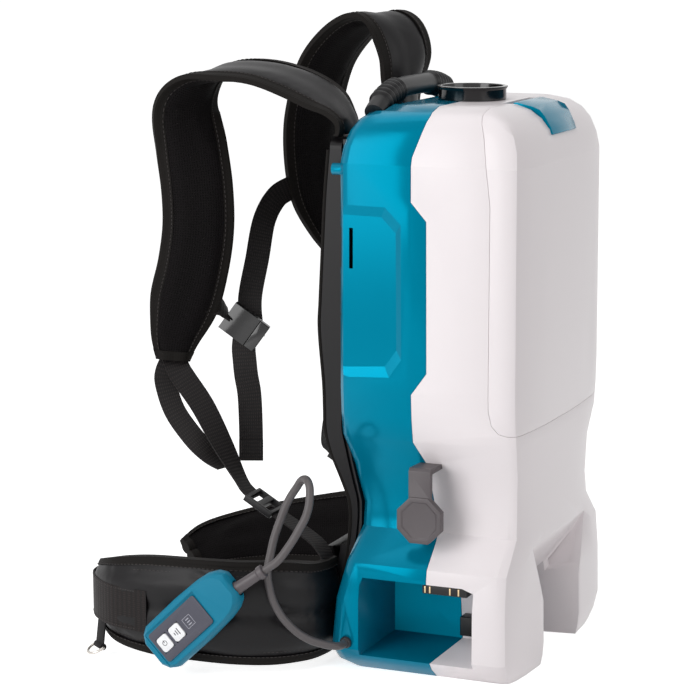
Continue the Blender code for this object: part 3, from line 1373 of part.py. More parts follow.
def make_remote():
    face, half = REMOTE_THICK / 2, REMOTE_LONG / 2
    side = [(-1, 0.5), (-0.92, 0.8), (-0.78, 0.98), (0, 1), (0.5, 0.95), (0.75, 0.86),
            (0.9, 0.7), (1, 0.42)]
    outline = [(s, -w) for s, w in side] + [(s, w) for s, w in side[::-1]]
    rings = []
    for d, inset in ((-1, 4), (-0.7, 0.6), (-0.1, 0), (0.6, 0.8), (1, 4)):
        rings.append([remote_place(s * (half - inset * MM), w * (REMOTE_HALF - inset * MM), d * face)
                      for s, w in outline])
    case = loft("remote_case", rings, teal_plastic(), 30)
    start, along = relief_frame()
    boolean(case, spindle("relief_notch", start, along, [
        (RELIEF_R + 1.5 * MM, 0), (RELIEF_R + 1.5 * MM, REMOTE_LONG)], 20))
    low, high = PANEL_LOW, PANEL_HIGH
    boolean(case, remote_slab("panel_pocket", (low - GAP, -PANEL_HALF - GAP, face - PANEL_SINK),
                              (high + GAP, PANEL_HALF + GAP, face + 5 * MM)))
    panel = remote_slab("remote_panel", (low, -PANEL_HALF, face - PANEL_SINK + GAP),
                        (high, PANEL_HALF, face + GAP), black_plastic())
    for name, at in (("power_button", POWER_AT), ("mode_button", MODE_AT)):
        size = (BUTTON_LONG / 2, BUTTON_HALF)
        floor = face - PANEL_SINK - BUTTON_DEEP
        hole = [v + BUTTON_GAP for v in size]
        for target, word in ((case, "case"), (panel, "panel")):
            boolean(target, remote_slab(f"{name}_hole_{word}", (at - hole[0], -hole[1], floor),
                                        (at + hole[0], hole[1], face + 6 * MM)))
        button = remote_slab(name, (at - size[0], -size[1], floor + BUTTON_TRAVEL + BUTTON_GAP),
                             (at + size[0], size[1], face + GAP + BUTTON_PROUD), button_white())
        set_origin(button, remote_place(at, 0, face))
    spindle("cord_relief", start, along, [
        (RELIEF_R * 0.9, GAP), (RELIEF_R, 2 * MM), (RELIEF_R, 20 * MM), (RELIEF_R * 0.82, 24 * MM),
        (RELIEF_R * 0.76, RELIEF_LONG - 5 * MM), (RELIEF_R, RELIEF_LONG - 5 * MM),
        (RELIEF_R, RELIEF_LONG)], 16, grey_plastic())
    back = REMOTE_X + face + GAP
    box("remote_clip", (back, REMOTE_Y - 14 * MM, REMOTE_Z - 15 * MM),
        (back + 3.6 * MM, REMOTE_Y + 13 * MM, REMOTE_Z + 15 * MM), black_plastic())


def make_cord():
    """The remote's cord: out of the left foot, up past the belt, over and down to the remote."""
    outer = -FOOT_HALF - GAP
    spindle("cord_grommet", Vector((outer, GROMMET_Y, GROMMET_Z)), Vector((-1, 0, 0)), [
        (GROMMET_NECK, -2 * WALL), (GROMMET_NECK, 0), (GROMMET_R, 0), (GROMMET_R, 2 * MM),
        (GROMMET_R - 1 * MM, GROMMET_HEAD)], 16, rubber())
    exit_x = (outer - GROMMET_HEAD - GAP) / MM
    start, along = relief_frame()
    end = (start + along * (RELIEF_LONG + GAP)) / MM
    y, z = GROMMET_Y / MM, GROMMET_Z / MM
    route = [
        (exit_x, y, z), (exit_x - 8, y, z), (-177, 79, 32.5), (-186, 88, 36), (-195, 102, 43),
        (-203, 117, 57), (-207, 129, 75), (-209, 135, 94), (-209, 137, 112), (-206, 135, 128),
        (-201, 133, 144), (-195, 129, 161), (-190, 124, 177), (-189, 115, 192), (-194, 105, 203),
        (-202, 96, 202), (-208, 92, 190), (-213, 93, 174), (-218, 99, 159), (-223, 108, 142),
        (*(end + along * 14),), (*(end + along * 8),), (*end,),
    ]
    curve = bpy.data.curves.new("remote_cord", "CURVE")
    curve.dimensions = "3D"
    curve.bevel_depth = CORD_R
    curve.bevel_resolution = 2
    curve.use_fill_caps = True
    points = in_mm(smooth_path(route, 2))
    line = curve.splines.new("POLY")
    line.points.add(len(points) - 1)
    for point, place in zip(line.points, points):
        point.co = (*place, 1)
    curve.materials.append(grey_plastic())
    made = bpy.data.objects.new("remote_cord", curve)
    bpy.context.collection.objects.link(made)
    made.parent = bpy.data.objects["unit"]


def main():
    clear_scene()
    unit = bpy.data.objects.new("unit", None)
    unit.location = (CASING_X, CASING_Y, 0)
    bpy.context.collection.objects.link(unit)
    make_rear_housing()
    make_middle_housing()
    make_lid()
    make_latch()
    make_inlet()
    make_chamber()
    make_filter()
    make_fan()
    make_board()
    make_terminals()
    make_hook()
    make_handle()
    make_back_plate()
    make_back_pad()
    make_lumbar_pad()
    left, right = make_straps()
    make_lower_webs(left, right)
    make_chest_strap(left, right)
    wing, _ = make_wings()
    make_belt_ring(make_belt_web(wing))
    make_remote()
    make_cord()


main()
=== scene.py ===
import json
import math

import bpy
import numpy as np
from mathutils import Matrix, Vector

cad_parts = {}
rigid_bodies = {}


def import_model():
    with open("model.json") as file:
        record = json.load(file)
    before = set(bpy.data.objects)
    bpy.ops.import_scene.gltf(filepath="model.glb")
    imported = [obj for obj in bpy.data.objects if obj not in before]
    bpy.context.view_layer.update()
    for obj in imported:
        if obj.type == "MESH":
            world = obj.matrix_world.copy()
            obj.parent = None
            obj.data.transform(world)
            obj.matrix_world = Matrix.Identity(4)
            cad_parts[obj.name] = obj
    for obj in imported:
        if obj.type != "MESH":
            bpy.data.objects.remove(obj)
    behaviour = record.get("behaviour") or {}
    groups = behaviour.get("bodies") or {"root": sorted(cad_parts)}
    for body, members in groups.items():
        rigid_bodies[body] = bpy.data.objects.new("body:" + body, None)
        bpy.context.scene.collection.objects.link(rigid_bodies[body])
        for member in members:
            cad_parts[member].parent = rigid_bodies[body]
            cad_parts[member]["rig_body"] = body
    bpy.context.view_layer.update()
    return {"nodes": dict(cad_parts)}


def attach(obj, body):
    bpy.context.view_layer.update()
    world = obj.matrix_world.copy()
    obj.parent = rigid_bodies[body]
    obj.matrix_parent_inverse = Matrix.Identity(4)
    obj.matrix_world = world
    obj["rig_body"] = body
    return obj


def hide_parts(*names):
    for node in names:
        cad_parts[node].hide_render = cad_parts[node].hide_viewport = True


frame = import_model()
print("frame loaded:", len(frame["nodes"]), "nodes")

scene = bpy.context.scene
mm = 0.001
casingPlace = Vector((12.85, -146.55, 0))  # the casing's middle in mm; routes are given from it


def at(x, y, z):
    return (Vector((x, y, z)) + casingPlace) * mm


# Camera.

camera = {"place": (-2.33223, -0.99646, 0.76057), "pitch": 79.66, "turn": -67.17, "lens": 127.4,
          "sensor": 36}


def makeCamera():
    bpy.ops.object.camera_add(
        location=camera["place"],
        rotation=(math.radians(camera["pitch"]), 0, math.radians(camera["turn"])),
    )
    made = bpy.context.object
    made.data.lens = camera["lens"]
    made.data.sensor_width = camera["sensor"]
    scene.camera = made


makeCamera()
print("camera set")

# Selecting, shaping and finishing.


def onlySelect(piece):
    if bpy.context.object and bpy.context.object.mode != "OBJECT":
        bpy.ops.object.mode_set(mode="OBJECT")
    bpy.ops.object.select_all(action="DESELECT")
    if piece:
        piece.select_set(True)
        bpy.context.view_layer.objects.active = piece


def openMesh(piece, test=None):  # edit mode with the faces that pass the test selected
    onlySelect(piece)
    bpy.ops.object.mode_set(mode="EDIT")
    bpy.ops.mesh.select_mode(type="FACE")
    bpy.ops.mesh.select_all(action="DESELECT" if test else "SELECT")
    if test:
        bpy.ops.object.mode_set(mode="OBJECT")
        for face in piece.data.polygons:
            face.select = test(face.center, face.normal)
        bpy.ops.object.mode_set(mode="EDIT")


def closeMesh():
    bpy.ops.object.mode_set(mode="OBJECT")


def faceOutward(piece):
    openMesh(piece)
    bpy.ops.mesh.normals_make_consistent(inside=False)
    closeMesh()


def applyAll(piece):
    onlySelect(piece)
    for step in list(piece.modifiers):
        bpy.ops.object.modifier_apply(modifier=step.name)


def addModifier(piece, kind, **settings):
    step = piece.modifiers.new(kind.lower(), kind)
    for key, value in settings.items():
        setattr(step, key, value)
    return step


def setFinishes(piece, finishes, slots):
    piece.data.materials.clear()
    for one in finishes:
        piece.data.materials.append(one)
    if len(finishes) > 1:
        piece.data.polygons.foreach_set("material_index", slots)


def finishPiece(piece, name, finish, body="frame", smooth=None):
    applyAll(piece)
    bpy.ops.object.transform_apply(location=True, rotation=True, scale=True)
    piece.name = piece.data.name = name
    slots = [face.material_index for face in piece.data.polygons]
    finishes = finish if isinstance(finish, tuple) else (finish,)
    setFinishes(piece, finishes, slots)
    if smooth:
        bpy.ops.object.shade_smooth_by_angle(angle=math.radians(smooth))
    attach(piece, body)
    return piece


# Materials.


def toLinear(hexColour):
    values = [int(hexColour[i:i + 2], 16) / 255 for i in (1, 3, 5)]
    return [v / 12.92 if v <= 0.04045 else ((v + 0.055) / 1.055) ** 2.4 for v in values] + [1]


def addNode(tree, kind, values=None, **settings):
    made = tree.nodes.new("ShaderNode" + kind)
    for key, value in settings.items():
        setattr(made, key, value)
    for key, value in (values or {}).items():
        if isinstance(value, bpy.types.NodeSocket):
            tree.links.new(value, made.inputs[key])
        else:
            made.inputs[key].default_value = value
    return made


def newMaterial(name, slot, colour, roughness, **others):
    made = bpy.data.materials.new(name)
    made.use_nodes = True
    made["slot"] = slot
    made.diffuse_color = toLinear(colour)
    shader = made.node_tree.nodes["Principled BSDF"]
    shader.inputs["Base Color"].default_value = toLinear(colour)
    shader.inputs["Roughness"].default_value = roughness
    for key, value in others.items():
        shader.inputs[key.replace("_", " ")].default_value = value
    return made, made.node_tree, shader


def addGloss(tree, shader, source, low, high):
    gloss = addNode(tree, "MapRange", {0: source, 3: low, 4: high})
    tree.links.new(gloss.outputs[0], shader.inputs["Roughness"])


def addBump(tree, shader, height, strength, depth):  # depth in mm
    bump = addNode(tree, "Bump", {"Height": height, "Strength": strength, "Distance": depth * mm})
    tree.links.new(bump.outputs[0], shader.inputs["Normal"])


def addTone(tree, shader, share, low, high):
    tone = addNode(tree, "Mix", {0: share, 6: toLinear(low), 7: toLinear(high)}, data_type="RGBA")
    tree.links.new(tone.outputs[2], shader.inputs["Base Color"])


def crossWaves(tree, place, along, across):  # threads both ways, each by its pitch in mm and waver
    waves = [addNode(tree, "TexWave", {"Vector": place, "Scale": 0.5 / (pitch * mm) / 3.14,
                                       "Distortion": waver, "Detail": 1},
                     bands_direction=way).outputs[1]
             for way, (pitch, waver) in (("X", along), ("Y", across))]
    return addNode(tree, "Math", {0: waves[0], 1: waves[1]}, operation="MULTIPLY").outputs[0]


def mouldedPlastic(name, slot, colour, roughness, grain=0.02, pitch=0.9, **others):
    # Moulded ABS or nylon: a tinted body under a clear skin whose gloss varies a little with
    # handling, with faint moulding ripple.
    made, tree, shader = newMaterial(name, slot, colour, roughness, IOR=1.54, **others)
    place = addNode(tree, "TexCoord").outputs["Object"]
    smear = addNode(tree, "TexNoise", {"Vector": place, "Scale": 14, "Detail": 4, "Roughness": 0.6})
    addGloss(tree, shader, smear.outputs[0], roughness * 0.92, roughness * 1.12)
    ripple = addNode(tree, "TexNoise", {"Vector": place, "Scale": 1 / (pitch * mm), "Detail": 2})
    addBump(tree, shader, ripple.outputs[0], 0.5, grain)
    return made


def clothMap(tree):  # the piece's own UV, in metres along and across it
    return addNode(tree, "UVMap", uv_map="cloth").outputs[0]


def wovenCloth(name, slot, colour, pitch, depth, roughness, lift="#3A343C", **others):
    # Woven cloth: crossing threads raise a fine grid, and worn places are a little lighter.
    made, tree, shader = newMaterial(name, slot, colour, roughness, **others)
    place = clothMap(tree)
    addBump(tree, shader, crossWaves(tree, place, (pitch, 0.6), (pitch, 0.6)), 0.7, depth)
    wear = addNode(tree, "TexNoise", {"Vector": place, "Scale": 22, "Detail": 5})
    share = addNode(tree, "MapRange", {0: wear.outputs[0], 1: 0.45, 2: 0.8, 3: 0.0, 4: 0.35})
    addTone(tree, shader, share.outputs[0], colour, lift)
    return made


def spacerMesh(name, slot, colour, holeShade, pitch):
    # Polyester spacer mesh: small holes in a knitted face, their darker tone painted shade inside
    # them, matt with a fine dotted grain.
    made, tree, shader = newMaterial(name, slot, colour, 0.85, Specular_IOR_Level=0.12)
    cells = addNode(tree, "TexVoronoi", {"Vector": clothMap(tree), "Scale": 1 / (pitch * mm),
                                         "Randomness": 0.25})
    opened = addNode(tree, "MapRange", {0: cells.outputs[0], 1: 0.22, 2: 0.42}).outputs[0]
    # the holes take the painted shade colour; the bump gives their real depth
    addTone(tree, shader, opened, holeShade, colour)
    addBump(tree, shader, opened, 0.8, 0.5)
    return made


def ribbedWebbing(name, slot, colour, lift, pitch=1.9):
    # Nylon webbing: cross ribs over lengthwise cords, the crowns painted lighter and the grooves
    # darker as highlight and shade.
    made, tree, shader = newMaterial(name, slot, colour, 0.62, Specular_IOR_Level=0.2)
    ribs = crossWaves(tree, clothMap(tree), (pitch, 0.4), (1.1, 0.2))
    # painted highlight on the rib crowns and painted shade in the grooves; the bump gives the real
    # ribs
    addTone(tree, shader, ribs, colour, lift)
    addBump(tree, shader, ribs, 0.8, 0.35)
    return made


def brushedSteel(name, slot, colour, roughness):
    # Plated or ground metal with fine drawn lines in its gloss.
    made, tree, shader = newMaterial(name, slot, colour, roughness, Metallic=1)
    place = addNode(tree, "TexCoord").outputs["Object"]
    lines = addNode(tree, "TexNoise", {"Vector": place, "Scale": 900, "Detail": 3})
    addGloss(tree, shader, lines.outputs[0], roughness * 0.7, roughness * 1.5)
    return made


tealAbs = mouldedPlastic("teal ABS", "teal_plastic", "#006E8A", 0.17, grain=0.003, pitch=6,
                         Specular_IOR_Level=1.0, Specular_Tint=toLinear("#00CDF6"))
whiteAbs = mouldedPlastic("white ABS", "white_plastic", "#EFE8EA", 0.3, grain=0.003, pitch=6,
                          Specular_IOR_Level=0.25)
tealMatt = mouldedPlastic("teal overmoulding", "teal_plastic", "#007896", 0.5,
                          Specular_IOR_Level=0.25)
blackNylon = mouldedPlastic("black moulded nylon", "black_plastic", "#0C0B0D", 0.42, grain=0.03,
                            Specular_IOR_Level=0.3)
glossNylon = mouldedPlastic("polished black nylon", "black_plastic", "#0C0B0D", 0.12)
greyNylon = mouldedPlastic("dark grey moulded nylon", "grey_plastic", "#4A4346", 0.45, grain=0.05)
panelFilm = mouldedPlastic("dark grey panel film", "black_plastic", "#3B3B49", 0.35)
keyWhite = mouldedPlastic("white silicone keys", "button_white", "#F1F1F3", 0.5)
keyInk = mouldedPlastic("printed dark ink", "black_plastic", "#33333B", 0.5)
paleInk = mouldedPlastic("printed pale ink", "button_white", "#A9A9B3", 0.5)
softRubber = mouldedPlastic("black rubber", "black_rubber", "#17151A", 0.6, grain=0.06)
gripRubber = mouldedPlastic("polished grip rubber", "black_rubber", "#0B0A0C", 0.36, grain=0.01,
                            Specular_IOR_Level=0.25)
cordRubber = mouldedPlastic("dark grey cord rubber", "cord_rubber", "#4B4647", 0.5, grain=0.04,
                            pitch=2.2)
strapNylon = wovenCloth("smooth nylon cloth", "strap_nylon", "#0A080A", 0.55, 0.05, 0.4,
                        lift="#120F13", Specular_IOR_Level=0.22)
bindingTape = wovenCloth("nylon binding tape", "strap_nylon", "#0D0A08", 1.4, 0.18, 0.7,
                         lift="#191311", Specular_IOR_Level=0.15)
# the second colour is painted shade inside the mesh holes
padMesh = spacerMesh("polyester spacer mesh", "spacer_mesh", "#0D0A0B", "#030202", 2.6)
# the second colour of each webbing is the painted highlight on its rib crowns
webbingCloth = ribbedWebbing("nylon webbing", "webbing", "#0F0D0E", "#2B2625")
wideWebbing = ribbedWebbing("wide belt webbing", "webbing", "#0F0B0B", "#231B1A", pitch=3)
threadDark = wovenCloth("polyester thread", "strap_nylon", "#2A2523", 0.4, 0.05, 0.7)
platedSteel = brushedSteel("plated steel", "steel", "#C9C4BE", 0.25)
bareSteel = brushedSteel("ground steel", "steel", "#A8A8A8", 0.35)
filterFleece = mouldedPlastic("filter fleece", "filter_cloth", "#DAD6CC", 0.9, grain=0.3, pitch=0.6)
circuitBoard = mouldedPlastic("green circuit board", "board_green", "#2E7D4A", 0.45)
copperBlade = brushedSteel("tinned copper contacts", "steel", "#C8B08A", 0.3)
print("materials made")

# Casings and hard pieces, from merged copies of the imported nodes.


shellShape = {"weld": 0.02, "flat": 0.6, "crease": 38}


def dressed(node, finish, edge=0.5, smooth=32, sections=2, shape=None, rounding=0):
    source = frame["nodes"][node]
    piece = bpy.data.objects.new(node + "_shell", source.data.copy())
    scene.collection.objects.link(piece)
    onlySelect(piece)
    bpy.ops.mesh.customdata_custom_splitnormals_clear()
    openMesh(piece)
    bpy.ops.mesh.remove_doubles(threshold=shellShape["weld"] * mm)
    bpy.ops.mesh.dissolve_limited(angle_limit=math.radians(shellShape["flat"]))
    closeMesh()
    if shape:
        shape(piece)
    if edge:
        addModifier(piece, "BEVEL", width=edge * mm, segments=sections, limit_method="ANGLE",
                    angle_limit=math.radians(shellShape["crease"]), use_clamp_overlap=True,
                    miter_outer="MITER_ARC")
    if rounding:
        addModifier(piece, "SUBSURF", levels=rounding, render_levels=rounding)
    finishPiece(piece, piece.name, finish, source["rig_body"], smooth)
    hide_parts(node)
    return piece


def keepSharp(piece, test):  # moulded creases stay sharp where both ends pass the test
    sharp = piece.data.attributes.get("sharp_edge") or piece.data.attributes.new(
        "sharp_edge", "BOOLEAN", "EDGE")
    passed = [test(vertex.co / mm - casingPlace) for vertex in piece.data.vertices]
    for edge in piece.data.edges:
        if all(passed[i] for i in edge.vertices):
            sharp.data[edge.index].value = True


def roundCorners(piece, direction, radius, test=None):  # bevels the edges that run one way
    openMesh(piece)
    bpy.ops.mesh.select_mode(type="EDGE")
    bpy.ops.mesh.select_all(action="DESELECT")
    closeMesh()
    for edge in piece.data.edges:
        ends = [piece.data.vertices[i].co for i in edge.vertices]
        run = (ends[1] - ends[0]).normalized()
        edge.select = abs(run.dot(direction)) > 0.99 and (not test or all(map(test, ends)))
    bpy.ops.object.mode_set(mode="EDIT")
    bpy.ops.mesh.bevel(offset=radius * mm, segments=5)
    closeMesh()


casingEdges = {"rear_housing": 0.7, "middle_housing": 0.7, "lid": 0.8, "lid_latch": 0.8}
shoulderCrease = 507
recessShape = {"x": 133.8, "near": 0.2, "y": (25, 90), "z": (296, 466), "high": 448, "low": 320,
               "front": 50, "slope": 7, "frontSlope": 3, "sharpX": 133.5, "sharpZ": (295, 468)}


def between(value, limits):
    return limits[0] < value < limits[1]


def slopeRecess(piece):  # the side panels' short walls are widened into soft slopes
    s = recessShape
    for vertex in piece.data.vertices:
        spot = vertex.co / mm - casingPlace
        if abs(abs(spot.x) - s["x"]) > s["near"] or not (
                between(spot.y, s["y"]) and between(spot.z, s["z"])):
            continue
        if spot.z >= s["high"] - 1:
            vertex.co.z -= s["slope"] * mm
        elif spot.z <= s["low"]:
            vertex.co.z += s["slope"] * mm
        if spot.y < s["front"]:
            vertex.co.y += s["frontSlope"] * mm


def inRecess(spot):
    s = recessShape
    return abs(spot.x) > s["sharpX"] and between(spot.y, s["y"]) and between(spot.z, s["sharpZ"])


latchShape = {
    "outer": [(-94.3, 533), (-91.8, 539.2), (-83.7, 550.2), (-78, 554.4), (-72.7, 558.2),
              (-57.6, 563.2), (-48.5, 563.2)],
    "moves": [(533, 0, 0), (539.2, 0, 0), (550.2, -1.8, 0.8), (554.4, -2.5, 3.0),
              (558.2, -0.3, 1.8), (563.2, 0, 0)],
    "skin": 1.5, "backFrom": -50, "back": -53.5,
}


def creaseLatch(piece):  # the arc over the lid's edge becomes a top face and a front face
    s = latchShape
    ys, zs = zip(*s["outer"])
    levels, forward, upward = zip(*s["moves"])
    for vertex in piece.data.vertices:
        spot = vertex.co / mm - casingPlace
        if spot.z > np.interp(spot.y, ys, zs) - s["skin"]:
            vertex.co.y += np.interp(spot.z, levels, forward) * mm
            vertex.co.z += np.interp(spot.z, levels, upward) * mm
        if spot.y > s["backFrom"]:
            vertex.co.y = at(0, s["back"], 0).y


def dressCasings():
    for node, finish, shape in (("rear_housing", tealAbs, slopeRecess),
                                ("middle_housing", whiteAbs, None), ("lid", whiteAbs, None),
                                ("lid_latch", tealAbs, creaseLatch)):
        piece = dressed(node, finish, casingEdges[node], 30, shape=shape)
        keepSharp(piece, lambda spot: abs(spot.z - shoulderCrease) < 0.6)
        if node == "rear_housing":
            keepSharp(piece, inRecess)
    print("casings dressed")


dressCasings()

hookShape = {"headPlace": (-153.5, 0, 162), "border": 4.5, "slope": 1.2, "sink": 1.2,
             "edge": 1.0}


def sinkHookFace(piece):
    head = at(*hookShape["headPlace"])
    openMesh(piece, lambda centre, normal: normal.x < -0.9 and abs(centre.x - head.x) < 0.5 * mm)
    bpy.ops.mesh.inset(thickness=hookShape["border"] * mm)
    bpy.ops.mesh.inset(thickness=hookShape["slope"] * mm, depth=-hookShape["sink"] * mm)
    closeMesh()


def dressFittings():
    dressed("hose_hook", greyNylon, hookShape["edge"], 28, 3, sinkHookFace)
    dressed("back_plate", blackNylon, 0.6)
    dressed("remote_clip", blackNylon, 0.8)
    dressed("cord_grommet", softRubber, 0.4, 50)
    for side in ("left", "right"):
        dressed("ladder_lock_" + side, blackNylon, 1.0, 40, 3)
        dressed("battery_terminal_" + side, blackNylon, 0.5)
        dressed("battery_catch_" + side, blackNylon, 1.2, 40, 3)
    dressed("chest_buckle_socket", glossNylon, 1.1, 40, 3)
    dressed("chest_buckle_plug", glossNylon, 1.0, 40, 3)
    dressed("belt_ring", platedSteel, 0, 60, rounding=2)
    print("fittings dressed")


dressFittings()

innerFinishes = (
    (greyNylon, "bag_collar impeller"), (circuitBoard, "control_board"),
    (bareSteel, "bearing_lower bearing_upper latch_pin motor_shaft motor_stator"),
    (blackNylon, "chamber_liner fan_housing fan_tray filter_frame"),
    (filterFleece, "dust_bag main_filter"), (softRubber, "fan_mount inlet_seal lid_gasket"),
)
for finish, nodes in innerFinishes:
    for node in nodes.split():
        for row in frame["nodes"][node].material_slots:
            row.material = finish
print("inner nodes finished")

# Trims in the feet.


def roundedBlock(centre, size, edge, sections):
    onlySelect(None)
    bpy.ops.mesh.primitive_cube_add(size=1, location=centre)
    piece = bpy.context.object
    piece.scale = size
    bpy.ops.object.transform_apply(scale=True)
    openMesh(piece)
    bpy.ops.mesh.bevel(offset=edge * mm, segments=sections)
    closeMesh()
    return piece


def barPiece(name, low, high, finish, edge):
    # a rounded block between two corners, given from the casing's middle
    low, high = at(*low), at(*high)
    size = [abs(high[i] - low[i]) for i in range(3)]
    return finishPiece(roundedBlock((low + high) / 2, size, edge, 2), name, finish, smooth=40)


footShape = {"rail": ((117.6, -50, 88.6), (151, -3, 97.6)), "contacts": [-42, -33, -12, -7],
             "cover": [(56.7, -64.7, 72.5), (58.8, -63.6, 77.5), (74.2, -82.8, 106.1),
                       (72, -85.8, 100.5), (61.3, -86.3, 76.6)],
             "coverBorder": 4, "coverThick": 1.5, "inward": (0.91, 0.12, -0.41)}


def makeFootTrims():
    s = footShape
    low, high = s["rail"]
    for side, word in ((-1, "left"), (1, "right")):
        barPiece("bay_rail_" + word, (side * low[0], *low[1:]), (side * high[0], *high[1:]),
                 blackNylon, 1.2)
        for i, y in enumerate(s["contacts"]):
            barPiece(f"bay_contact_{word}_{i}", (side * (high[0] - 0.4), y, low[2] + 1.2),
                     (side * (high[0] + 0.5), y + 1.6, high[2] - 1), copperBlade, 0.25)
    corners = np.array(s["cover"])
    away = corners - corners.mean(0)
    corners = corners + away / np.linalg.norm(away, axis=1)[:, None] * s["coverBorder"]
    for side, word in ((1, "right"), (-1, "left")):
        onlySelect(None)
        bpy.ops.mesh.primitive_circle_add(vertices=len(corners), fill_type="NGON")
        piece = bpy.context.object
        for vertex, corner in zip(piece.data.vertices, corners + np.array(s["inward"])):
            vertex.co = at(side * corner[0], corner[1], corner[2])
        addModifier(piece, "SOLIDIFY", thickness=s["coverThick"] * mm, offset=0)
        applyAll(piece)
        faceOutward(piece)
        finishPiece(piece, "arch_cover_" + word, whiteAbs, smooth=20)
    print("foot trims made")


makeFootTrims()

# Turned pieces.


def spun(name, profile, centre, finish, body, steps, smooth=35):
    onlySelect(None)
    bpy.ops.mesh.primitive_circle_add(vertices=len(profile), radius=0.01)
    piece = bpy.context.object
    for vertex, (radius, height) in zip(piece.data.vertices, profile):
        vertex.co = (radius * mm, 0, height * mm)
    openMesh(piece)
    bpy.ops.mesh.select_mode(type="VERT")
    bpy.ops.mesh.select_all(action="SELECT")
    bpy.ops.mesh.spin(steps=steps, angle=2 * math.pi, center=(0, 0, 0), axis=(0, 0, 1))
    bpy.ops.mesh.select_all(action="SELECT")
    bpy.ops.mesh.remove_doubles(threshold=0.01 * mm)
    bpy.ops.mesh.normals_make_consistent(inside=False)
    closeMesh()
    piece.location = centre
    return finishPiece(piece, name, finish, body, smooth)


inletShape = {
    "centre": (0, 4, 0),
    "profile": [(27.6, 524.2), (30.3, 524.2), (30.4, 562.2), (33.7, 562.3), (34.1, 562.7),
                (34.1, 572.2), (34.5, 573.2), (35.5, 574.2), (35.9, 574.9), (35.9, 575.5),
                (35.4, 575.9), (31.6, 575.9), (31.1, 575.5), (30.9, 574.6), (30.8, 566),
                (30.3, 564), (27.9, 560.5), (27.6, 559)],
}


def makeInletRing():
    ring = spun("inlet_ring_turned", inletShape["profile"], at(*inletShape["centre"]),
                glossNylon, "inlet_body", 128)
    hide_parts("inlet_ring")
    print("inlet ring turned")


makeInletRing()

# Routes that soft and swept pieces follow.


def readPoints(piece):
    points = np.empty(len(piece.data.vertices) * 3)
    piece.data.vertices.foreach_get("co", points)
    return points.reshape(-1, 3)


def writePoints(piece, points):
    piece.data.vertices.foreach_set("co", np.asarray(points, float).ravel())
    piece.data.update()


def mapCloth(piece, along, across):  # the weave's own map, in metres
    layer = piece.data.uv_layers.get("cloth") or piece.data.uv_layers.new(name="cloth")
    corners = np.empty(len(piece.data.loops), int)
    piece.data.loops.foreach_get("vertex_index", corners)
    layer.data.foreach_set("uv", np.stack([along[corners], across[corners]], 1).ravel())
    layer.active = True


def smoothPath(points, steps):
    rows = np.array([points[0], *points, points[-1]], float)
    t = np.arange(steps)[:, None] / steps
    path = [
        0.5 * (2 * b + (c - a) * t + (2 * a - 5 * b + 4 * c - d) * t ** 2
               + (3 * b - a - 3 * c + d) * t ** 3)
        for a, b, c, d in zip(rows, rows[1:], rows[2:], rows[3:])
    ]
    return np.concatenate([*path, rows[-1:]])


def unit(rows):
    return rows / np.linalg.norm(rows, axis=1)[:, None]


def routeOf(points, half, thick, steps=8):  # rows of place, width direction and two shares
    path = smoothPath([tuple(p) + (1, 1) if len(p) == 6 else p for p in points], steps)
    place = (path[:, :3] + np.array(casingPlace)) * mm
    tangent = unit(np.gradient(place, axis=0))
    wide = path[:, 3:6] - tangent * np.sum(path[:, 3:6] * tangent, axis=1)[:, None]
    wide = unit(wide)
    run = np.concatenate([[0], np.cumsum(np.linalg.norm(np.diff(place, axis=0), axis=1))])
    return {"place": place, "wide": wide, "out": np.cross(tangent, wide), "tangent": tangent,
            "run": run, "half": path[:, 6] * half * mm, "thick": path[:, 7] * thick / 2 * mm}


def sample(route, key, along):
    values = route[key]
    if values.ndim == 1:
        return np.interp(along, route["run"], values)
    return np.stack([np.interp(along, route["run"], values[:, k]) for k in range(3)], 1)


def placed(route, along, across, up):  # metres along, across and out of a route
    end = route["run"][-1]
    base = sample(route, "place", along) + sample(route, "tangent", along) * (
        along - np.clip(along, 0, end))[:, None]
    return base + sample(route, "wide", along) * across[:, None] + sample(
        route, "out", along) * up[:, None]


def gridPiece(columns, rows):
    onlySelect(None)
    bpy.ops.mesh.primitive_grid_add(x_subdivisions=columns, y_subdivisions=rows, size=2)
    return bpy.context.object


def closedGrid(columns, rows):  # a flat closed grid, and which of its faces look out
    piece = gridPiece(columns, rows)
    addModifier(piece, "SOLIDIFY", thickness=2, offset=0)
    applyAll(piece)
    return piece, [face.center.z > 0.5 for face in piece.data.polygons]


def flatForm(across, along):
    return np.ones_like(across)


def layAlong(piece, route, start, end, low, high, form=flatForm, padding=0):
    # the grid's x runs along the route, y across it in shares of the half width, z is the side
    points = readPoints(piece)
    along = start + (points[:, 0] + 1) / 2 * (end - start)
    across = low + (points[:, 1] + 1) / 2 * (high - low)
    up = points[:, 2] * (sample(route, "thick", along) * form(np.clip(across, -1, 1), along)
                         + padding * mm)
    mapCloth(piece, along, across * sample(route, "half", along))
    writePoints(piece, placed(route, along, across * sample(route, "half", along), up))


def slabAlong(name, route, finish, columns, rows, start=0, end=None, low=-1, high=1,
              form=flatForm, padding=0):
    # a closed band with both faces and a rim; a second finish goes on its out side
    piece, outSide = closedGrid(columns, rows)
    end = route["run"][-1] if end is None else end
    layAlong(piece, route, start, end, low, high, form, padding)
    faceOutward(piece)
    if isinstance(finish, tuple):
        setFinishes(piece, finish, outSide)
    return finishPiece(piece, name, finish, smooth=50)


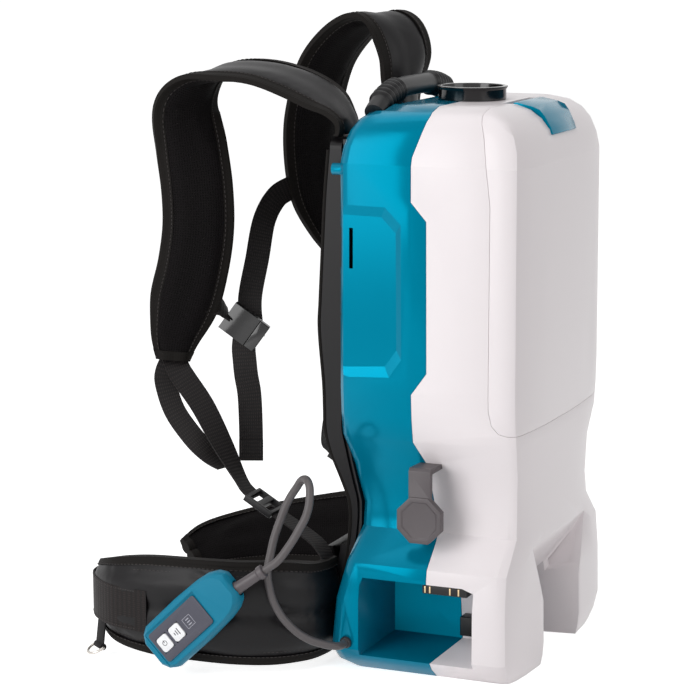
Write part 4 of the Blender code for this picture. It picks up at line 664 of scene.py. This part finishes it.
def tubeAlong(name, route, finish, sides, columns, radius):
    piece = gridPiece(columns, sides)
    points = readPoints(piece)
    along = (points[:, 0] + 1) / 2 * route["run"][-1]
    turn = points[:, 1] * math.pi
    size = radius(along)
    mapCloth(piece, along, turn * size)
    writePoints(piece, placed(route, along, np.cos(turn) * size, np.sin(turn) * size))
    openMesh(piece)
    bpy.ops.mesh.remove_doubles(threshold=0.005 * mm)
    bpy.ops.mesh.select_all(action="SELECT")
    bpy.ops.mesh.fill_holes(sides=0)
    bpy.ops.mesh.normals_make_consistent(inside=False)
    closeMesh()
    return finishPiece(piece, name, finish, smooth=60)


stitchShape = {"corner": 0.28, "wide": 0.7, "high": 0.5}


def stitchLine(name, route, start, end, across, side, form=flatForm, lift=0.2, pitch=4.5,
               long=3.0):
    # one stitch, repeated by an array and laid on one face of a band
    count = max(2, int((end - start) / (pitch * mm)))
    onlySelect(None)
    bpy.ops.mesh.primitive_cube_add(size=1)
    piece = bpy.context.object
    openMesh(piece)
    bpy.ops.mesh.bevel(offset=stitchShape["corner"], segments=1)
    closeMesh()
    size = np.array([long, stitchShape["wide"], stitchShape["high"]])
    writePoints(piece, readPoints(piece) * size * mm)
    addModifier(piece, "ARRAY", count=count, use_relative_offset=False, use_constant_offset=True,
                constant_offset_displace=(pitch * mm, 0, 0))
    applyAll(piece)
    points = readPoints(piece)
    along = start + pitch * mm / 2 + points[:, 0]
    shares = np.full(len(points), float(across))
    height = sample(route, "thick", along) * form(shares, along) + lift * mm
    mapCloth(piece, along, points[:, 1])
    writePoints(piece, placed(route, along, shares * sample(route, "half", along) + points[:, 1],
                              side * (height + points[:, 2])))
    faceOutward(piece)
    return finishPiece(piece, name, threadDark, smooth=60)


# Carry handle.

handleShape = {"y": 66, "half": 108, "low": 554, "rise": 21, "radius": 10.3, "rib": 12.9,
               "ribStart": 50, "farStart": 38, "ribPitch": 7.5, "ribs": 6, "ribPower": 1.4}


def handleLine():
    s = handleShape
    points = []
    for i in range(33):
        x = -s["half"] + i * s["half"] / 16
        share = abs(x) / s["half"]
        points.append((x, s["y"], s["low"] + s["rise"] * (1 - share ** 3.2), 0, 1, 0))
    return routeOf(points, 1, 1, 4)


handleRoute = handleLine()


def handleRadius(along):
    s = handleShape
    middle = handleRoute["run"][-1] / 2
    far = along > middle
    out = np.abs(along - middle) / mm - np.where(far, s["farStart"], s["ribStart"])
    wave = np.abs(np.sin(np.pi * np.clip(out / s["ribPitch"], 0, s["ribs"]))) ** s["ribPower"]
    inside = (out > 0) & (out < s["ribPitch"] * s["ribs"])
    return (s["radius"] + np.where(inside, wave, 0) * (s["rib"] - s["radius"])) * mm


def makeHandle():
    grip = tubeAlong("carry_handle_grip", handleRoute, gripRubber, 40, 420, handleRadius)
    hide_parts("carry_handle")
    print("carry handle made")


makeHandle()

# Padded pieces.


swellShape = {"voxel": 5, "quality": 4, "mass": 0.15, "pressure": 4, "steps": 20, "edge": 0.9}


def swell(piece, route, cap):
    # a short cloth run puffs the pad from inside; points keep within the cap, less at the edges
    s = swellShape
    finishes = list(piece.data.materials)
    addModifier(piece, "REMESH", mode="VOXEL", voxel_size=s["voxel"] * mm)
    applyAll(piece)
    rest = readPoints(piece)
    cloth = addModifier(piece, "CLOTH")
    cloth.settings.quality = s["quality"]
    cloth.settings.mass = s["mass"]
    cloth.settings.use_pressure = True
    cloth.settings.uniform_pressure_force = s["pressure"]
    cloth.settings.effector_weights.gravity = 0
    cloth.collision_settings.use_collision = False
    for step in range(1, s["steps"] + 1):
        scene.frame_set(step)
    onlySelect(piece)
    bpy.ops.object.modifier_apply(modifier=cloth.name)
    scene.frame_set(1)
    moved = readPoints(piece) - rest
    along, across, _ = nearRoute(route, rest)
    share = np.clip(1 - (np.abs(across) / sample(route, "half", along) / s["edge"]) ** 4, 0.05, 1)
    length = np.linalg.norm(moved, axis=1)
    limit = cap * mm * share
    moved *= np.minimum(1, limit / np.maximum(length, 1e-9))[:, None]
    writePoints(piece, rest + moved)
    addModifier(piece, "SUBSURF", levels=1, render_levels=1)
    applyAll(piece)
    along, across, up = nearRoute(route, readPoints(piece))
    mapCloth(piece, along, across)
    setFinishes(piece, finishes,
                [int(up[list(face.vertices)].mean() > 0) for face in piece.data.polygons])
    onlySelect(piece)
    bpy.ops.object.shade_smooth()


def nearRoute(route, points):  # along, across and out of the nearest place on a route
    found = np.empty(len(points), int)
    for first in range(0, len(points), 4000):
        gap = points[first:first + 4000, None, :] - route["place"][None]
        found[first:first + 4000] = np.argmin((gap ** 2).sum(2), axis=1)
    away = points - route["place"][found]
    return (route["run"][found] + (away * route["tangent"][found]).sum(1),
            (away * route["wide"][found]).sum(1), (away * route["out"][found]).sum(1))


def tableForm(table):
    shares, heights = zip(*sorted(table))

    def form(across, along):
        return np.interp(across, shares, heights)
    return form


def mirrored(table):
    return [(-a, b) for a, b in table if a] + list(table)


strapShape = {
    "half": 36, "thick": 13, "bind": 0.72, "swell": 2.2, "bindColumns": 260, "bindPadding": 0.35,
    "stitchIn": 0.1, "stitchLift": 1.5,
    "section": [(0, 0.9), (0.15, 0.97), (0.35, 1), (0.55, 0.94), (0.68, 0.78), (0.78, 0.5),
                (0.88, 0.36), (1, 0.3)],
    "left": [
        (-78, 106, 530.3, 1, 0, 0, 1, 0.8),
        (-78, 106, 535, 1, 0.1, 0, 1, 0.8), (-78, 111, 546, 1, 0.2, 0.1, 1, 0.9),
        (-78, 128, 562, 1, 0.2, 0.3, 1, 1), (-78, 160, 578, 1, 0, 0.25, 1, 1),
        (-79, 200, 589, 1, 0, 0.2, 1, 1), (-80, 240, 589, 1, -0.1, 0.15, 1, 1),
        (-81, 268, 577, 1, -0.3, 0, 1, 1), (-83, 283, 550, 0.8, -0.6, 0, 1, 1),
        (-84, 277, 510, 0.6, -0.8, 0, 1, 1), (-85, 271, 470, 0.5, -0.87, 0, 1, 1),
        (-85, 270, 430, 0.5, -0.87, 0, 1, 1), (-85, 276, 390, 0.5, -0.87, 0, 1, 1),
        (-85, 287, 350, 0.5, -0.87, 0, 0.98, 1), (-86, 297, 315, 0.5, -0.87, 0, 0.72, 0.9),
        (-87, 300, 290, 0.5, -0.87, 0, 0.48, 0.6)],
    "right": [
        (78, 106, 530.3, 1, 0, 0, 1, 0.8),
        (78, 106, 535, 1, 0.1, 0, 1, 0.8), (77.5, 107, 548, 1, 0, 0, 1, 0.9),
        (76, 109, 572, 0.96, -0.2, 0, 1, 1), (76, 107, 602, 0.9, -0.4, 0, 1, 1),
        *((77, y, z, 0.88, -0.47, 0, 1, 1) for y, z in (
            (119, 628), (142, 637), (170, 622), (196, 590), (210, 545), (214, 510), (211, 470))),
        (75, 205, 440, 0.88, -0.47, 0, 0.9, 1),
        (73, 194, 412, 0.88, -0.47, 0, 0.65, 0.9), (74, 176, 385, 0.88, -0.47, 0, 0.48, 0.6)],
}
strapRoutes = {side: routeOf(strapShape[side], strapShape["half"], strapShape["thick"])
               for side in ("left", "right")}


def bindingForm(form):  # the tape stands over the pad's edge and bulges like piping
    def bound(across, along):
        bulge = np.interp(np.abs(across), [0.7, 0.76, 0.95, 1], [0.1, 1, 1.2, 0.6])
        return form(across, along) + 0.14 * bulge
    return bound


def bindEdges(kind, words, route, form, s):  # tape over both long edges, stitched on both faces
    end = route["run"][-1]
    for word, low, high in ((words[0], s["bind"], 1.02), (words[1], -1.02, -s["bind"])):
        slabAlong(kind.format("binding") + "_" + word, route, bindingTape, s["bindColumns"], 10,
                  1 * mm, end - 1 * mm, low, high, bindingForm(form), s["bindPadding"])
        for face, way in (("nylon", -1), ("mesh", 1)):
            stitchLine(f"{kind.format('stitches')}_{word}_{face}", route, 4 * mm, end - 4 * mm,
                       0.5 * (low + high) - math.copysign(s["stitchIn"], low), way, form,
                       s["stitchLift"])


def makeStrap(side):
    s, route = strapShape, strapRoutes[side]
    form = tableForm(mirrored(s["section"]))
    end = route["run"][-1]
    pad = slabAlong("strap_pad_" + side, route, (strapNylon, padMesh), 220, 28, form=form,
                    low=-0.97, high=0.97)
    swell(pad, route, s["swell"])
    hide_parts("shoulder_strap_" + side)
    bindEdges("strap_{}_" + side, ("inner", "outer"), route, form, s)
    slabAlong(f"strap_tip_tape_{side}", route, bindingTape, 12, 24, end - 9 * mm,
              end + 0.8 * mm, -1.04, 1.04, form, 2.2)


makeStrap("left")
makeStrap("right")
print("shoulder straps made")

wingShape = {
    "thick": 18, "bind": 0.86, "swell": 3, "bindColumns": 220, "bindPadding": 0.4,
    "stitchIn": 0.08, "stitchLift": 1.9, "seams": [0.74, 0, -0.76], "seamLift": 0.5,
    "section": [(-1, 0.34), (-0.9, 0.36), (-0.8, 0.5), (-0.6, 0.9), (-0.35, 1), (-0.12, 0.86),
                (-0.03, 0.48), (0.03, 0.48), (0.12, 0.84), (0.35, 1), (0.58, 0.9), (0.7, 0.56),
                (0.76, 0.5), (0.82, 0.62), (0.9, 0.42), (1, 0.34)],
    "left": [
        (-115.3, 107, 59.5, 46.5, 0, 1), (-119, 107, 59.5, 46.5, 0, 1),
        (-140, 108, 59.5, 47, 0, 1), (-165, 116, 60.5, 48.5, 0, 1), (-190, 138, 63.5, 51.5, 0, 1),
        (-207, 172, 64.5, 51.5, 0, 1), (-214, 215, 65, 51, 0, 1), (-214, 262, 64.5, 49.5, 0, 1),
        (-206, 303, 63.5, 43.5, 0, 1), (-186, 330, 64, 34, 0, 1), (-168, 341, 64, 25, 0, 0.9),
        (-160, 344, 63, 16, 0, 0.6)],
    "right": [
        (115.3, 107, 59.5, 46.5, 0, 1), (119, 107, 59.5, 46.5, 0, 1), (140, 108, 59.5, 47, 0, 1),
        (168, 120, 60, 48, 5, 1), (192, 152, 58, 47, 10, 1), (204, 200, 52, 43, 18, 1),
        (204, 250, 45, 40, 28, 1), (192, 300, 39, 36, 36, 1), (165, 340, 34, 32, 40, 1),
        (130, 366, 31, 27, 42, 0.9), (103, 380, 28, 17, 42, 0.6)],
}


def wingRoute(points, side, thick):
    rows = []
    for i, (x, y, z, half, tilt, fill) in enumerate(points):
        ahead, behind = points[min(i + 1, len(points) - 1)], points[max(i - 1, 0)]
        run = Vector((ahead[0] - behind[0], ahead[1] - behind[1], 0)).normalized()
        lean = math.radians(tilt)
        across = Vector((run.y, -run.x, 0)) * side * math.sin(lean) + Vector((0, 0, math.cos(lean)))
        rows.append((x, y, z, *across, half, fill))
    return routeOf(rows, 1, thick)


wingRoutes = {side: wingRoute(wingShape[side], way, wingShape["thick"])
              for side, way in (("left", -1), ("right", 1))}


def makeWing(side):
    s, route = wingShape, wingRoutes[side]
    form = tableForm(s["section"])
    end = route["run"][-1]
    cloths = (strapNylon, padMesh) if side == "left" else (padMesh, strapNylon)
    pad = slabAlong("hip_wing_pad_" + side, route, cloths, 170, 36, form=form, low=-0.98, high=0.98)
    swell(pad, route, s["swell"])
    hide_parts("hip_wing_" + side)
    bindEdges("wing_{}_" + side, ("upper", "lower"), route, form, s)
    for i, share in enumerate(s["seams"]):
        stitchLine(f"wing_seam_{side}_{i}", route, 12 * mm, end - 30 * mm, share,
                   -1 if side == "left" else 1, form, s["seamLift"])
    slabAlong(f"wing_tip_tape_{side}", route, bindingTape, 10, 20, end - 8 * mm, end + 0.8 * mm,
              -1.04, 1.04, form, 1.2)


makeWing("left")
makeWing("right")
print("hip wings made")

backShape = {
    "half": 115, "low": 8, "high": 530, "pipingX": 113.4, "pipingRadius": 2.1,
    "levels": [(8, 93.7, 100.8), (12, 96.5, 103.2), (24, 99.1, 105.0), (45, 97.0, 102.9),
               (75, 94.1, 100.0), (103, 87.3, 93.2), (112, 85.1, 91.3), (118, 84.3, 90.7),
               (142, 81.1, 88.3), (165, 81.1, 89.5), (185, 86.1, 96.9), (205, 91.1, 105.8),
               (216, 93.6, 110.5), (236, 98.1, 115.7), (258, 98.1, 116.5), (285, 98.1, 117.5),
               (337, 98.1, 122.0), (367, 98.1, 121.0), (420, 98.1, 118.4), (468, 98.1, 116.0),
               (507, 98.1, 112.8), (517, 98.1, 112.0), (530, 98.1, 111.3)],
    "channels": [221, 316, 404, 484], "channelDeep": 3.4, "channelHalf": 5,
    "seat": (20, 118, 112), "seatOver": 9, "seatGap": 0.5,
    "crown": 4, "crownEnd": 0.93,
    "crownShares": ([0, 0.05, 0.12, 0.5, 0.83, 0.93, 0.955], [0.3, 0.6, 1, 0.85, 0.5, 0, -0.4]),
}


def backRoute():
    rows = [(0, (rear + edge) / 2, z, 1, 0, 0, 1, edge - rear)
            for z, rear, edge in backShape["levels"]]
    return routeOf(rows, backShape["half"], 1, 3)


backPath = backRoute()


def backCrown(share, z):  # how far the padded face stands over its piping, in mm
    s = backShape
    crown = s["crown"] * np.interp(share, *s["crownShares"])
    for channel in s["channels"]:
        groove = np.exp(-((z - channel) / s["channelHalf"]) ** 2)
        crown -= s["channelDeep"] * groove * (share < s["crownEnd"])
    return crown * np.clip(np.minimum((z - s["low"]) / 8, (s["high"] - z) / 10), 0, 1)


def makeBackPad():
    s = backShape
    piece, outSide = closedGrid(260, 90)
    points = readPoints(piece)
    along = (points[:, 0] + 1) / 2 * backPath["run"][-1]
    across = points[:, 1]
    z = sample(backPath, "place", along)[:, 2] / mm
    thick = sample(backPath, "thick", along)
    up = points[:, 2] * thick
    face = points[:, 2] > 0
    up += np.where(face, backCrown(np.abs(across), z), 0) * mm
    low, high, seat = s["seat"]
    inSeat = face & (z > low) & (z < high)
    seatUp = (seat + casingPlace.y) * mm - sample(backPath, "place", along)[:, 1]
    seatUp = np.minimum(seatUp, thick + s["seatOver"] * mm) - s["seatGap"] * mm
    up = np.where(inSeat, np.maximum(up, seatUp), up)
    ends = np.minimum(z - s["low"], s["high"] - z) / 10
    half = s["half"] * mm * (1 - 0.1 * np.clip(1 - ends, 0, 1) ** 2)
    mapCloth(piece, along, across * half)
    writePoints(piece, placed(backPath, along, across * half, up))
    faceOutward(piece)
    setFinishes(piece, (strapNylon, padMesh), outSide)
    pad = finishPiece(piece, "back_pad_cloth", (strapNylon, padMesh), "frame", 50)
    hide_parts("back_pad")
    for word, way in (("left", -1), ("right", 1)):
        points = [(way * s["pipingX"], edge + 0.4, z, 1, 0, 0) for z, _, edge in s["levels"][1:-1]]
        route = routeOf(points, 1, 1, 4)
        tubeAlong("back_piping_" + word, route, bindingTape, 12, 240,
                  lambda along: np.full_like(along, s["pipingRadius"] * mm))
    print("back pad made")


makeBackPad()

lumbarShape = {"half": 92, "low": 26, "high": 110, "seat": 112.3, "thick": 16,
               "rows": [0.32, 0.66]}


def makeLumbarPad():
    s = lumbarShape
    middle, high = s["seat"] + s["thick"] / 2, s["high"] - s["low"]
    route = routeOf([(0, middle, s["low"] + high * i / 8, 1, 0, 0) for i in range(9)],
                    s["half"], s["thick"], 4)

    def form(across, along):
        t = along / mm / high
        rise = np.clip(np.minimum(t, 1 - t) / 0.16, 0, 1)
        side = np.clip((1 - np.abs(across)) / 0.14, 0, 1)
        puff = 0.35 + 0.65 * np.sqrt(np.clip(rise * (2 - rise) * side * (2 - side), 0, 1))
        for row in s["rows"]:
            puff -= 0.3 * np.exp(-((t - row) / 0.025) ** 2)
        return puff - 0.12 * np.exp(-(across / 0.05) ** 2)

    pad = slabAlong("lumbar_pad_cloth", route, (strapNylon, padMesh), 90, 90, form=form)
    points = readPoints(pad)
    floor = (s["seat"] + casingPlace.y) * mm
    points[:, 1] = np.maximum(points[:, 1], floor)
    writePoints(pad, points)
    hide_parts("lumbar_pad")
    print("lumbar pad made")


makeLumbarPad()

# Webbing.

webShape = {"half": 12.5, "thick": 1.6}


def strapPoint(side, back, lift):  # a row on a strap's outer face, back from its end
    route = strapRoutes[side]
    along = np.array([route["run"][-1] - back * mm])
    height = sample(route, "thick", along) * 0.9 + lift * mm
    place = placed(route, along, np.zeros(1), -height)[0] / mm - np.array(casingPlace)
    return (*place, *sample(route, "wide", along)[0])


anchorWeb = [(108, 178, 146.8), (108.5, 171, 142.5), (112, 152, 134), (121, 124, 122),
             (127, 112, 113), (129, 107.6, 106.9)]
webRoutes = {
    "lower_web_left": [strapPoint("left", 34, 1.2), strapPoint("left", 18, 1.3),
        strapPoint("left", 4, 1.4), (-89, 292, 279, 0.5, -0.87, 0),
        (-90, 285, 270, 0.5, -0.87, 0), (-93, 263, 244, 0.6, -0.8, 0),
        (-99, 238, 207, 0.8, -0.5, 0), (-105, 215, 174, 1, 0, 0), (-107.6, 205, 163.5, 1, 0, 0),
        (-108, 196, 157.5, 1, 0, 0)],
    "lower_web_right": [strapPoint("right", 34, 1.2), strapPoint("right", 18, 1.3),
        strapPoint("right", 4, 1.4), (76, 174, 374, 0.9, -0.4, 0), (80, 174, 360, 0.9, -0.4, 0),
        (88, 180, 310, 0.9, -0.3, 0), (97, 195, 240, 0.95, -0.2, 0), (105, 210, 178, 1, 0, 0),
        (107.5, 205, 164, 1, 0, 0), (108, 196, 157.5, 1, 0, 0)],
    "anchor_web_left": [(-x, y, z, 1, 0, 0) for x, y, z in anchorWeb],
    "anchor_web_right": [(x, y, z, 1, 0, 0) for x, y, z in anchorWeb],
    "web_tail_left": [strapPoint("left", 10, 3.0), strapPoint("left", 2, 3.2),
        (-88, 308, 276, 0.5, -0.87, 0.05), (-88, 308, 262, 0.5, -0.87, 0.1),
        (-92, 296, 236, 0.45, -0.8, 0.3), (-96, 274, 212, 0.5, -0.6, 0.5),
        (-99, 253, 195, 0.8, -0.3, 0.4), (-103, 234, 184, 1, 0, 0.1)],
    "chest_web_left": [(-74, 268, 352, 0.1, -0.3, -1), (-64, 260, 347, 0.1, -0.4, -0.9),
        (-58, 256, 341, 0.1, -0.5, -0.85), (-52.2, 252.5, 334.4, 0.14, -0.56, -0.82)],
    "chest_web_right": [(-43, 228, 311, 0.2, -0.78, -0.58), (-38, 233, 322, 0.22, -0.8, -0.5),
        (-30, 238, 350, 0.3, -0.9, -0.1), (-5, 241, 388, 0.4, -0.85, -0.1),
        (17, 243, 425, 0.4, -0.6, -0.5), (32, 236, 448, 0.1, -0.25, -1),
        (46, 226, 457, 0, -0.1, -1), (58, 219, 460, 0, -0.1, -1)],
    "chest_web_tail": [(-46.5, 236, 314, 0.2, -0.9, -0.3),
        (-47.5, 237.5, 300, 0.25, -0.95, -0.15), (-47.5, 236.5, 286, 0.3, -0.95, 0),
        (-47, 235, 270, 0.35, -0.9, 0), (-46, 232, 250, 0.39, -0.92, 0),
        (-45, 231, 215, 0.39, -0.92, 0), (-45, 231, 180, 0.39, -0.92, 0)],
}


def boxStitch(name, route, start, end, side, inset=0.78, lift=0.12):
    for word, across in (("a", -inset), ("b", inset)):
        stitchLine(f"{name}_{word}", route, start, end, across, side, flatForm, lift, 3.2, 2.2)


def makeWebs():
    for name, points in webRoutes.items():
        share = 0.9 if name == "web_tail_left" else 1
        route = routeOf(points, webShape["half"] * share, webShape["thick"], 6)
        webRoutes[name] = route
        end = route["run"][-1]
        band = slabAlong(name + "_band", route, webbingCloth, max(24, int(end / mm / 3)), 6)
        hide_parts(name)
    tail = webRoutes["chest_web_tail"]
    end = tail["run"][-1]
    for name, back, padding in (("chest_tail_hem", 22, 0.8), ("chest_tail_tape", 6, 1.1)):
        slabAlong(name, tail, webbingCloth, 10, 6, end - back * mm, end + 0.5 * mm, -1.01, 1.01,
                  padding=padding)
    for word, side in (("in", -1), ("out", 1)):
        boxStitch("chest_tail_box_" + word, tail, end - 20 * mm, end - 6 * mm, side, lift=0.9)
    for word in ("left", "right"):
        boxStitch("lower_web_box_" + word, webRoutes["lower_web_" + word], 2 * mm, 28 * mm, -1)
    print("webbing made")


makeWebs()

beltShape = {"low": 38, "high": 81, "thick": 1.6, "startY": 245, "stand": 10.4}


def makeBeltWeb():
    s, wing = beltShape, wingRoutes["left"]
    middle, half = (s["low"] + s["high"]) / 2, (s["high"] - s["low"]) / 2
    rows = []
    for i in range(0, len(wing["run"]) - 6, 4):
        place = wing["place"][i] / mm - np.array(casingPlace)
        if place[1] > s["startY"]:
            spot = place - wing["out"][i] * s["stand"]
            rows.append((spot[0], spot[1], middle, 0, 0, 1))
    tip = wing["place"][-1] / mm - np.array(casingPlace)
    run = wing["tangent"][-1]
    aside = np.array([-run[1], run[0], 0])
    for ahead, across in ((2, 8.2), (6, 6), (8, 0.5), (6.5, -5), (3, -7)):
        spot = tip + run * ahead + aside * across
        rows.append((spot[0], spot[1], middle, 0, 0, 1))
    route = routeOf(rows, half, s["thick"], 4)
    end = route["run"][-1]
    band = slabAlong("belt_web_band", route, wideWebbing, 90, 10)
    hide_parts("belt_web_left")
    slabAlong("belt_web_hem", route, wideWebbing, 10, 10, 0, 14 * mm, -1, 1, padding=0.7)
    boxStitch("belt_web_stitches", route, 1 * mm, 60 * mm, 1, 0.9)
    boxStitch("belt_web_seam", route, 1 * mm, end - 20 * mm, -1, 0.9)
    dressed("belt_tab", webbingCloth, 0.3, 40)
    print("belt web made")


makeBeltWeb()

# Remote, its keys and its cord.

remoteShape = {"centre": (-238.5, 203, 64), "tilt": math.radians(44)}
tiltSin, tiltCos = math.sin(remoteShape["tilt"]), math.cos(remoteShape["tilt"])
remoteRun, remoteWide = Vector((0, -tiltCos, tiltSin)), Vector((0, tiltSin, tiltCos))


def onRemoteFace(piece, along, across, out):  # lays a piece made in XY on the case's face
    turn = Matrix(((0, 0, -1), (-tiltCos, tiltSin, 0), (tiltSin, tiltCos, 0)))
    spot = remoteRun * along + remoteWide * across + Vector((-out, 0, 0))
    spot = at(*remoteShape["centre"]) + spot * mm
    piece.data.transform(Matrix.Translation(spot) @ turn.to_4x4())


markShape = {"high": 0.4, "keyOut": 12.35, "lampOut": 11.35}


def faceBar(name, along, across, long, wide, out, finish, body="frame", corner=0.15):
    size = (long * mm, wide * mm, markShape["high"] * mm)
    piece = roundedBlock((0, 0, 0), size, corner, 3)
    onRemoteFace(piece, along, across, out)
    return finishPiece(piece, name, finish, body, 40)


def faceRing(name, along, across, radius, wire, out, finish, body):
    onlySelect(None)
    bpy.ops.mesh.primitive_torus_add(major_radius=radius * mm, minor_radius=wire * mm,
                                     major_segments=40, minor_segments=8)
    piece = bpy.context.object
    onRemoteFace(piece, along, across, out)
    return finishPiece(piece, name, finish, body, 60)


panelShape = {"across": 0.88, "side": 15, "cut": 2, "corner": 3}


def trimPanel(piece):  # the film is cut inside the case's face and its corners are rounded
    s = panelShape
    centre = at(*remoteShape["centre"])
    for vertex in piece.data.vertices:
        away = vertex.co - centre
        along, across = away.dot(remoteRun) / mm, away.dot(remoteWide) / mm
        if abs(across) > s["side"]:
            vertex.co += remoteWide * across * (s["across"] - 1) * mm
            vertex.co += remoteRun * (s["cut"] if along < 0 else -s["cut"]) * mm
    roundCorners(piece, Vector((1, 0, 0)), s["corner"],
                 lambda spot: abs((spot - centre).dot(remoteWide)) > s["side"] * mm)


def makeRemote():
    s = markShape
    dressed("remote_case", tealMatt, 0.8, 34, 3)
    dressed("remote_panel", panelFilm, 0.15, shape=trimPanel)
    for node in ("power_button", "mode_button"):
        dressed(node, keyWhite, 0.7, 40, 3, lambda piece: roundCorners(piece, Vector((1, 0, 0)), 3))
    faceRing("power_mark_ring", -37, 0, 2.4, 0.28, 12.32, keyInk, "power_body")
    faceBar("power_mark_bar", -37, 1.8, 0.6, 2.6, 12.4, keyInk, "power_body")
    for i in range(3):
        faceBar(f"mode_mark_{i}", -19 + (i - 1) * 2.6, 0, 0.9, 3 + 2.2 * i, s["keyOut"], keyInk,
                "mode_body")
    for word, across in (("near", -5.4), ("far", 5.4)):
        faceBar("lamp_border_" + word, -1, across, 10, 0.5, s["lampOut"], paleInk)
    for word, along in (("low", -6.2), ("high", 4.2)):
        faceBar("lamp_border_" + word, along, 0, 0.5, 11, s["lampOut"], paleInk)
    for i in range(3):
        faceBar(f"lamp_{i}", -1, (i - 1) * 2.8, 4.4, 1.1, s["lampOut"], paleInk, corner=0.2)
    print("remote made")


makeRemote()

reliefShape = {
    "start": (-238.5, 174.33, 86.13), "way": (0.1462, -0.8009, 0.5807), "long": 54,
    "profile": [(0, 6.4), (2, 7), (20, 7), (23, 6.2), (26, 5.9), (44, 5.4), (47, 5.4), (48.5, 6.8),
                (53, 7), (54, 6.4)],
}


def makeRelief():
    s = reliefShape
    start, way = Vector(s["start"]), Vector(s["way"])
    points = [(*(start + way * (s["long"] * i / 10)), 0, 0.58, 0.8) for i in range(11)]
    route = routeOf(points, 1, 1, 2)
    places, sizes = zip(*s["profile"])
    sleeve = tubeAlong("cord_relief_sleeve", route, greyNylon, 32, 108,
                       lambda along: np.interp(along / mm, places, sizes) * mm)
    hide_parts("cord_relief")


makeRelief()

cordShape = {
    "diameter": 8, "length": 0.352,
    "route": [(-160.6, 76, 31), (-168.6, 76, 31), (-177, 79, 32.5), (-186, 88, 36),
              (-195, 102, 43), (-203, 117, 57), (-207, 129, 75), (-209, 135, 94),
              (-209, 137, 112), (-206, 135, 128), (-201, 133, 144), (-195, 129, 161),
              (-190, 124, 177), (-189, 115, 192), (-194, 105, 203), (-202, 96, 202),
              (-208, 92, 190), (-213, 93, 174), (-218, 99, 159), (-223, 108, 142),
              (-228.51, 119.63, 125.79), (-229.39, 124.43, 122.31), (-230.56, 130.84, 117.66)],
}


def makeCord():
    s = cordShape
    onlySelect(None)
    bpy.ops.curve.primitive_bezier_curve_add(radius=0.01)
    piece = bpy.context.object
    line = piece.data.splines[0]
    line.bezier_points.add(len(s["route"]) - 2)
    for knot, spot in zip(line.bezier_points, s["route"]):
        knot.co = at(*spot)
        knot.handle_left_type = knot.handle_right_type = "AUTO"
    piece.data.resolution_u = 8
    piece.data.bevel_depth = s["diameter"] / 2 * mm
    piece.data.bevel_resolution = 6
    piece.data.use_fill_caps = True
    piece.name = piece.data.name = "remote_cord_line"
    piece.data.materials.append(cordRubber)
    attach(piece, "frame")
    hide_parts("remote_cord")
    print("remote cord made")


makeCord()

# Floor and light.

stageShape = {"floor": 60, "floorColour": "#F7F7F7", "floorGlow": 0.74, "sky": 0.3,
              "aim": (0, 0, 0.36), "key": (11, (-1.42, 0.62, 1.0), (1.0, 0.9)),
              "strip": (4.6, (-1.5, 0.5, 0.42), (1.0, 0.42)),
              "fill": (10.5, (-0.6, -2.3, 1.3), (1.5, 1.4)),
              "top": (6, (-0.1, 0.0, 1.8), (1.2, 1.2))}


def aimAt(lamp, target):
    lamp.rotation_euler = (Vector(target) - lamp.location).to_track_quat("-Z", "Y").to_euler()


def seenRays(tree):  # 1 for rays that show the backdrop: straight, mirrored or let through
    path = addNode(tree, "LightPath").outputs
    seen = path["Is Camera Ray"]
    for kind in ("Is Glossy Ray", "Is Transmission Ray"):
        seen = addNode(tree, "Math", {0: seen, 1: path[kind]}, operation="MAXIMUM").outputs[0]
    return seen


def makeStage():
    s = stageShape
    onlySelect(None)
    bpy.ops.mesh.primitive_plane_add(size=s["floor"])
    floor = bpy.context.object
    floor.name = "floor"
    finish, tree, shader = newMaterial("pale studio floor", "white_plastic", s["floorColour"], 0.9)
    glow = addNode(tree, "Math", {0: seenRays(tree), 1: s["floorGlow"]},
                   operation="MULTIPLY").outputs[0]
    shader.inputs["Emission Color"].default_value = (1, 1, 1, 1)
    tree.links.new(glow, shader.inputs["Emission Strength"])
    floor.data.materials.append(finish)
    for word in ("key", "strip", "fill", "top"):
        power, place, size = s[word]
        bpy.ops.object.light_add(type="AREA", location=place)
        lamp = bpy.context.object
        lamp.name = word + "_lamp"
        lamp.data.energy = power
        lamp.data.shape = "RECTANGLE"
        lamp.data.size, lamp.data.size_y = size
        aimAt(lamp, s["aim"])
    world = bpy.data.worlds.new("studio")
    world.use_nodes = True
    scene.world = world
    tree = world.node_tree
    level = addNode(tree, "MapRange", {0: seenRays(tree), 3: s["sky"], 4: 1.0}).outputs[0]
    sky = tree.nodes["Background"]
    sky.inputs[0].default_value = (1, 1, 1, 1)
    tree.links.new(level, sky.inputs[1])
    scene.view_settings.view_transform = "Standard"
    print("stage lit")


makeStage()
